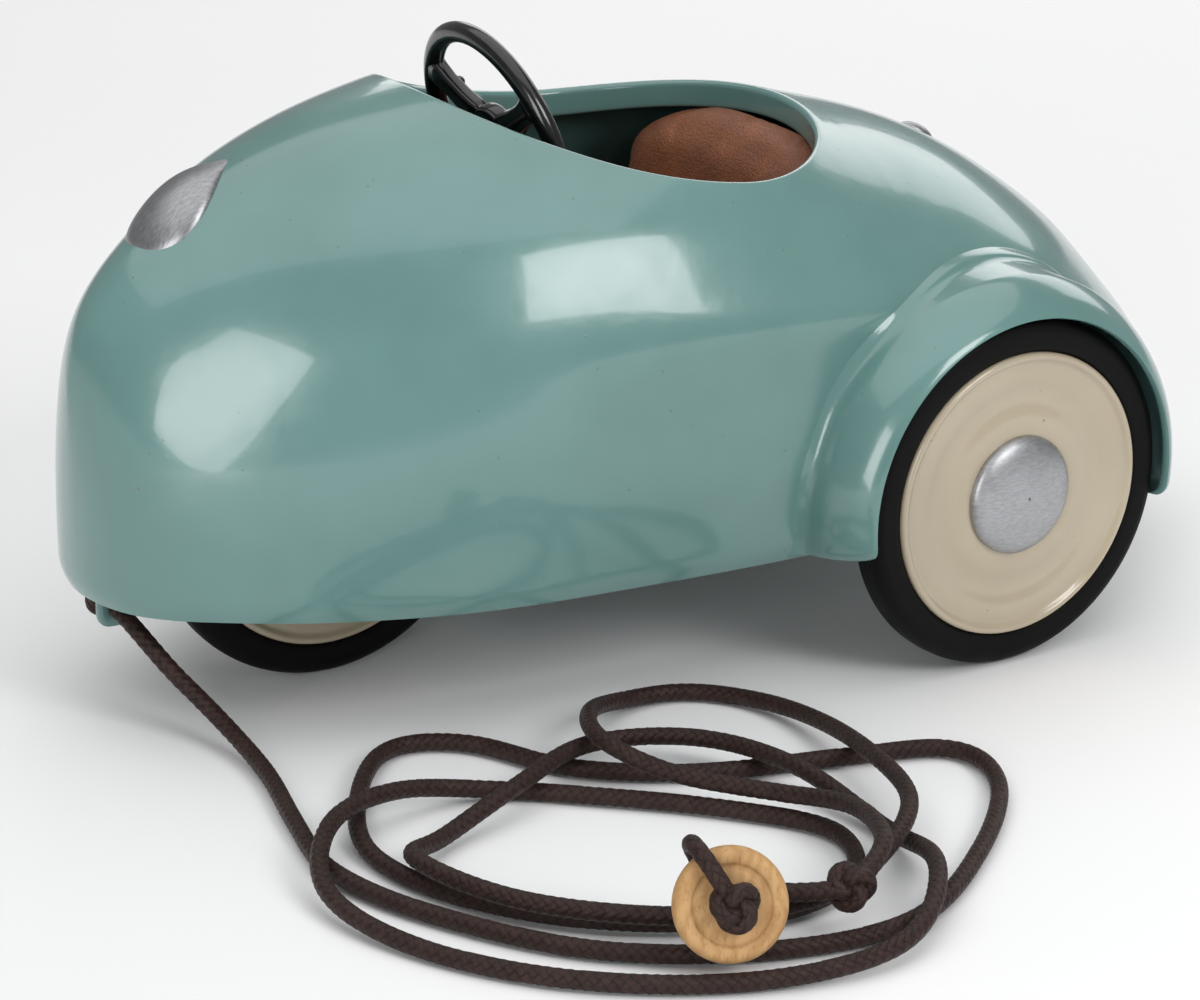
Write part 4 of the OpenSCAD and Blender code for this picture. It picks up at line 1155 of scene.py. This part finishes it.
class TOY_OT_wheels(Maker):
    """Builds the tyres, the pressed discs and the hub caps"""
    bl_idname = "toy.wheels"
    bl_label = "Wheels"

    def build(self, scene):
        for prefix, body, x, y, flip in (
                ("rear_left", "rear_left_wheel", REAR_X, HALF_TRACK, False),
                ("rear_right", "rear_right_wheel", REAR_X, -HALF_TRACK, True)):
            place = on_axle(x, y, flip)
            self.tyre(prefix, body, place)
            self.disc(prefix + "_disc", body, place)
            self.cap(prefix + "_cap", body, place)
        place = on_axle(FRONT_X, 0)
        self.tyre("front", "front_wheel", place)
        self.disc("front_left_disc", "front_wheel", place)
        self.disc("front_right_disc", "front_wheel", on_axle(FRONT_X, 0, True))

    def tyre(self, prefix, body, place):
        bed, seat = DISC_R - 1.7, TYRE_W / 2 - 0.75
        half, crown = TYRE_W / 2, 2.4
        outline = [(bed, seat), (DISC_R + 0.1, seat), (DISC_R + 0.15, half - 0.3),
                   (DISC_R + 0.55, half - 0.05), (DISC_R + 1.2, half)]
        outline += [(TYRE_R - crown + crown * math.sin(a), half - crown + crown * math.cos(a))
                    for a in np.radians(np.linspace(0, 82, 10))]
        outline += [(TYRE_R - 0.02, 0.9), (TYRE_R, 0.35), (TYRE_R + 0.04, 0.12)]
        full = outline + [(r, -h) for r, h in reversed(outline)]
        tyre = lathe(prefix + "_tyre_moulded", full, 176, place)
        keep_corners(tyre, 55)
        settle(tyre, MATERIALS["rubber"], body, "rubber", prefix + "_tyre")

    def disc(self, node, body, place):
        t, edge = 0.7, TYRE_W / 2 - 0.75
        low = edge - t + 0.35
        face = [(4.0, 0), (0.47 * DISC_R, 0), (0.52 * DISC_R, -0.02), (0.56 * DISC_R, -0.14),
                (0.60 * DISC_R, -0.38), (0.64 * DISC_R, -0.6), (0.685 * DISC_R, -0.68),
                (0.73 * DISC_R, -0.55), (0.77 * DISC_R, -0.25), (0.81 * DISC_R, -0.03),
                (0.85 * DISC_R, 0.08), (0.89 * DISC_R, 0.06), (0.915 * DISC_R, 0.0)]
        outer = round_off([(r, low + t + h) for r, h in face], 1)
        inner = [(r, h - t) for r, h in reversed(outer)]
        roll = [(DISC_R - 1.55, low + t + 0.12), (DISC_R - 1.25, edge + 0.72),
                (DISC_R - 0.95, edge + 1.0), (DISC_R - 0.6, edge + 1.08),
                (DISC_R - 0.28, edge + 0.98), (DISC_R - 0.05, edge + 0.7), (DISC_R, edge + 0.4),
                (DISC_R, edge + 0.03), (DISC_R - 1.5, edge + 0.03)]
        disc = lathe(node + "_pressed", outer + round_off(roll, 1) + inner, 176, place)
        keep_corners(disc, 55)
        settle(disc, MATERIALS["cream"], body, "cream", node)

    def cap(self, node, body, place):
        r, h, wall = 9.3, 2.8, 0.6
        base = TYRE_W / 2 - 0.75 - 0.7 + 0.35 + 0.7
        outer = [(r, base + 0.02), (r, base + 0.35)]
        outer += [(r * math.cos(a) ** 0.8, base + 0.35 + (h - 0.35) * math.sin(a))
                  for a in np.radians(np.linspace(4, 89.4, 30))]
        inner = [(max(x - wall, 0.02), max(z - wall, base + 0.02)) for x, z in reversed(outer[1:])]
        inner.append((r - wall, base + 0.02))
        cap = lathe(node + "_dome", outer + inner, 128, place)
        keep_corners(cap, 60)
        settle(cap, MATERIALS["cap_silver"], body, "silver", node)


class TOY_OT_steering(Maker):
    """Builds the steering wheel with its studded spokes and stepped hub"""
    bl_idname = "toy.steering"
    bl_label = "Steering wheel"

    def build(self, scene):
        place = along_column(0)
        ring = []
        for k in range(28):
            a = 2 * math.pi * k / 28
            ring.append((STEER_R + 1.62 * math.cos(a), 1.5 * math.sin(a)))
        rim = lathe("steering_rim", ring, 160, place)
        settle(rim, MATERIALS["black_enamel"], "steering", "black_enamel", "steering_wheel")
        hub = [(0.02, 1.6), (4.6, 1.6), (5.2, 1.1), (5.25, -0.7), (4.9, -1.35), (4.3, -1.6),
               (3.7, -1.62), (3.4, -1.4), (3.1, -1.35), (2.95, -1.7), (2.85, -2.4), (2.3, -2.85),
               (1.6, -2.95), (1.3, -2.8), (1.0, -2.9), (0.02, -3.0)]
        hub = lathe("steering_hub", round_off(hub, 2), 96, place, closed=False)
        settle(hub, MATERIALS["black_enamel"], "steering", "black_enamel", "steering_cap")
        spokes = through_tree(self.spoke(), repeat_tree(), "steering_spokes", place, **{
            "Count": 3, "Start angle": 0.0, "Material": MATERIALS["black_enamel"]})
        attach(spokes, "steering")

    def spoke(self):
        """One flat tapered spoke with two raised studs, lying along local X."""
        work = bmesh.new()
        stops = ((4.2, 2.7, 1.5), (6.2, 2.4, 1.45), (9.0, 1.95, 1.3), (12.6, 1.85, 1.25),
                 (15.0, 2.2, 1.35), (16.4, 2.7, 1.45))
        rings = []
        for x, wide, thick in stops:
            ring = []
            for k in range(20):
                a = 2 * math.pi * (k + 0.5) / 20
                c, s = math.cos(a), math.sin(a)
                ring.append(work.verts.new((x * MM, wide * MM * math.copysign(abs(c) ** 0.6, c),
                                            thick * MM * math.copysign(abs(s) ** 0.6, s))))
            rings.append(ring)
        for a, b in zip(rings, rings[1:]):
            for k in range(20):
                m = (k + 1) % 20
                work.faces.new((a[k], a[m], b[m], b[k]))
        work.faces.new(rings[0])
        work.faces.new(rings[-1])
        for x in (7.8, 12.2):
            turn = Matrix.Translation((x * MM, 0, -1.3 * MM))
            bmesh.ops.create_uvsphere(work, u_segments=16, v_segments=10, radius=0.95 * MM,
                                      matrix=turn)
        mesh = bpy.data.meshes.new("spoke")
        work.to_mesh(mesh)
        work.free()
        obj = bpy.data.objects.new("spoke", mesh)
        bpy.context.scene.collection.objects.link(obj)
        return obj


def node_is_back(name):
    return name.startswith("seat_back")


class TOY_OT_seat(Maker):
    """Builds the padded leather seat and its back with a cloth simulation"""
    bl_idname = "toy.seat"
    bl_label = "Seat"

    def build(self, scene):
        wish = scene.toy_seat
        for name, node, crown in (("seat_cushion_leather", "seat_cushion", 3.0),
                                  ("seat_back_leather", "seat_back", 6.0)):
            pad = self.pad(name, frame["nodes"][node], wish, crown)
            settle(pad, MATERIALS["hide"], "car", "hide", node)

    def pad(self, name, source, wish, crown):
        grow = 10.0
        mesh = source.data.copy()
        mesh.name = name
        obj = bpy.data.objects.new(name, mesh)
        bpy.context.scene.collection.objects.link(obj)
        middle = sum((v.co for v in mesh.vertices), Vector()) / len(mesh.vertices)
        mesh.transform(Matrix.Scale(grow, 4) @ Matrix.Translation(-middle))
        self.apply(obj, "REMESH", mode="VOXEL", voxel_size=0.006)
        self.smooth(obj.data, 8)
        start = self.points(obj.data)
        cloth = obj.modifiers.new("stuffing", "CLOTH")
        cloth.settings.use_pressure = True
        cloth.settings.uniform_pressure_force = wish.pressure
        cloth.settings.effector_weights.gravity = 0.0
        cloth.settings.quality = 6
        scene = bpy.context.scene
        for n in range(1, 17):
            scene.frame_set(n)
        graph = bpy.context.evaluated_depsgraph_get()
        done = bpy.data.meshes.new_from_object(obj.evaluated_get(graph), depsgraph=graph)
        moved = self.points(done) - start
        obj.modifiers.clear()
        bpy.data.meshes.remove(done)
        scene.frame_set(1)
        far = np.linalg.norm(moved, axis=1, keepdims=True)
        cap = wish.swell * grow
        start = start + moved * (cap * np.tanh(far / cap) / np.maximum(far, 1e-9))
        low, high = start.min(0), start.max(0)
        half = (high - low) / 2
        spot = (start - (low + high) / 2) / half
        round_top = np.clip(1 - spot[:, 0] ** 2, 0, 1) * np.clip(1 - spot[:, 1] ** 2, 0, 1)
        start[:, 2] += np.where(spot[:, 2] > 0, round_top * crown * MM * grow * 0.4, 0)
        if node_is_back(name):
            high_up = np.clip((spot[:, 2] + 0.3) / 0.9, 0, 1)
            corner = np.clip((np.abs(spot[:, 1]) - 0.35) / 0.65, 0, 1) ** 2
            start[:, 2] -= 0.055 * corner * high_up
            start[:, 0] += 0.02 * spot[:, 1] ** 2 * high_up
        wrinkle = np.sin(start[:, 1] * 46 + start[:, 0] * 60) * np.exp(-(spot[:, 1] + 0.72) ** 2 * 18)
        start[:, 2] += 0.0035 * wrinkle * np.clip(spot[:, 2], 0, 1)
        obj.data.vertices.foreach_set("co", start.ravel())
        obj.data.transform(Matrix.Translation(middle) @ Matrix.Scale(1 / grow, 4))
        self.apply(obj, "SUBSURF", levels=1, render_levels=1)
        for face in obj.data.polygons:
            face.use_smooth = True
        return obj

    def points(self, mesh):
        co = np.empty(len(mesh.vertices) * 3)
        mesh.vertices.foreach_get("co", co)
        return co.reshape(-1, 3)

    def smooth(self, mesh, passes):
        work = bmesh.new()
        work.from_mesh(mesh)
        for _ in range(passes):
            bmesh.ops.smooth_vert(work, verts=work.verts, factor=0.5, use_axis_x=True,
                                  use_axis_y=True, use_axis_z=True)
        work.to_mesh(mesh)
        work.free()

    def apply(self, obj, kind, **settings):
        modifier = obj.modifiers.new("step", kind)
        for key, item in settings.items():
            setattr(modifier, key, item)
        bpy.context.view_layer.update()
        graph = bpy.context.evaluated_depsgraph_get()
        mesh = bpy.data.meshes.new_from_object(obj.evaluated_get(graph), depsgraph=graph)
        obj.modifiers.clear()
        old = obj.data
        obj.data = mesh
        bpy.data.meshes.remove(old)


class TOY_OT_hardware(Maker):
    """Gives the frame's own plates, axles, bushes and rivets their finishes"""
    bl_idname = "toy.hardware"
    bl_label = "Frame hardware"

    def build(self, scene):
        slots = {part["node"]: part["material_slot"] for part in frame["record"]["subparts"]}
        for node, obj in frame["nodes"].items():
            paint(obj, MATERIALS[slots[node]])


class TOY_PT_panel(bpy.types.Panel):
    """Sidebar panel with the settings and one button per group of pieces"""
    bl_label = "Toy car"
    bl_idname = "TOY_PT_panel"
    bl_space_type = "VIEW_3D"
    bl_region_type = "UI"
    bl_category = "Toy car"

    def draw(self, context):
        scene = context.scene
        for group, names in ((scene.toy_cord, ("smoothing", "ring_step")),
                             (scene.toy_body, ("side_steps", "rim_steps", "lip_radius")),
                             (scene.toy_seat, ("pressure", "swell")),
                             (scene.toy_stage, ("softness",))):
            for name in names:
                self.layout.prop(group, name)
        for maker in MAKERS:
            self.layout.operator(maker.bl_idname)


GROUPS = {"toy_cord": CordSettings, "toy_body": BodySettings, "toy_seat": SeatSettings,
          "toy_stage": StageSettings}
MAKERS = (TOY_OT_stage, TOY_OT_cord, TOY_OT_hardware, TOY_OT_shell, TOY_OT_lamps,
          TOY_OT_wheels, TOY_OT_steering, TOY_OT_seat)


def register():
    for group in GROUPS.values():
        bpy.utils.register_class(group)
    for maker in MAKERS + (TOY_PT_panel,):
        bpy.utils.register_class(maker)
    for name, group in GROUPS.items():
        setattr(bpy.types.Scene, name, PointerProperty(type=group))


def unregister():
    for name in GROUPS:
        delattr(bpy.types.Scene, name)
    for item in (TOY_PT_panel,) + MAKERS[::-1] + tuple(GROUPS.values()):
        bpy.utils.unregister_class(item)


def main():
    register()
    MATERIALS.update(all_materials())
    for maker in MAKERS:
        group, name = maker.bl_idname.split(".")
        getattr(getattr(bpy.ops, group), name)()


if __name__ == "__main__":
    main()
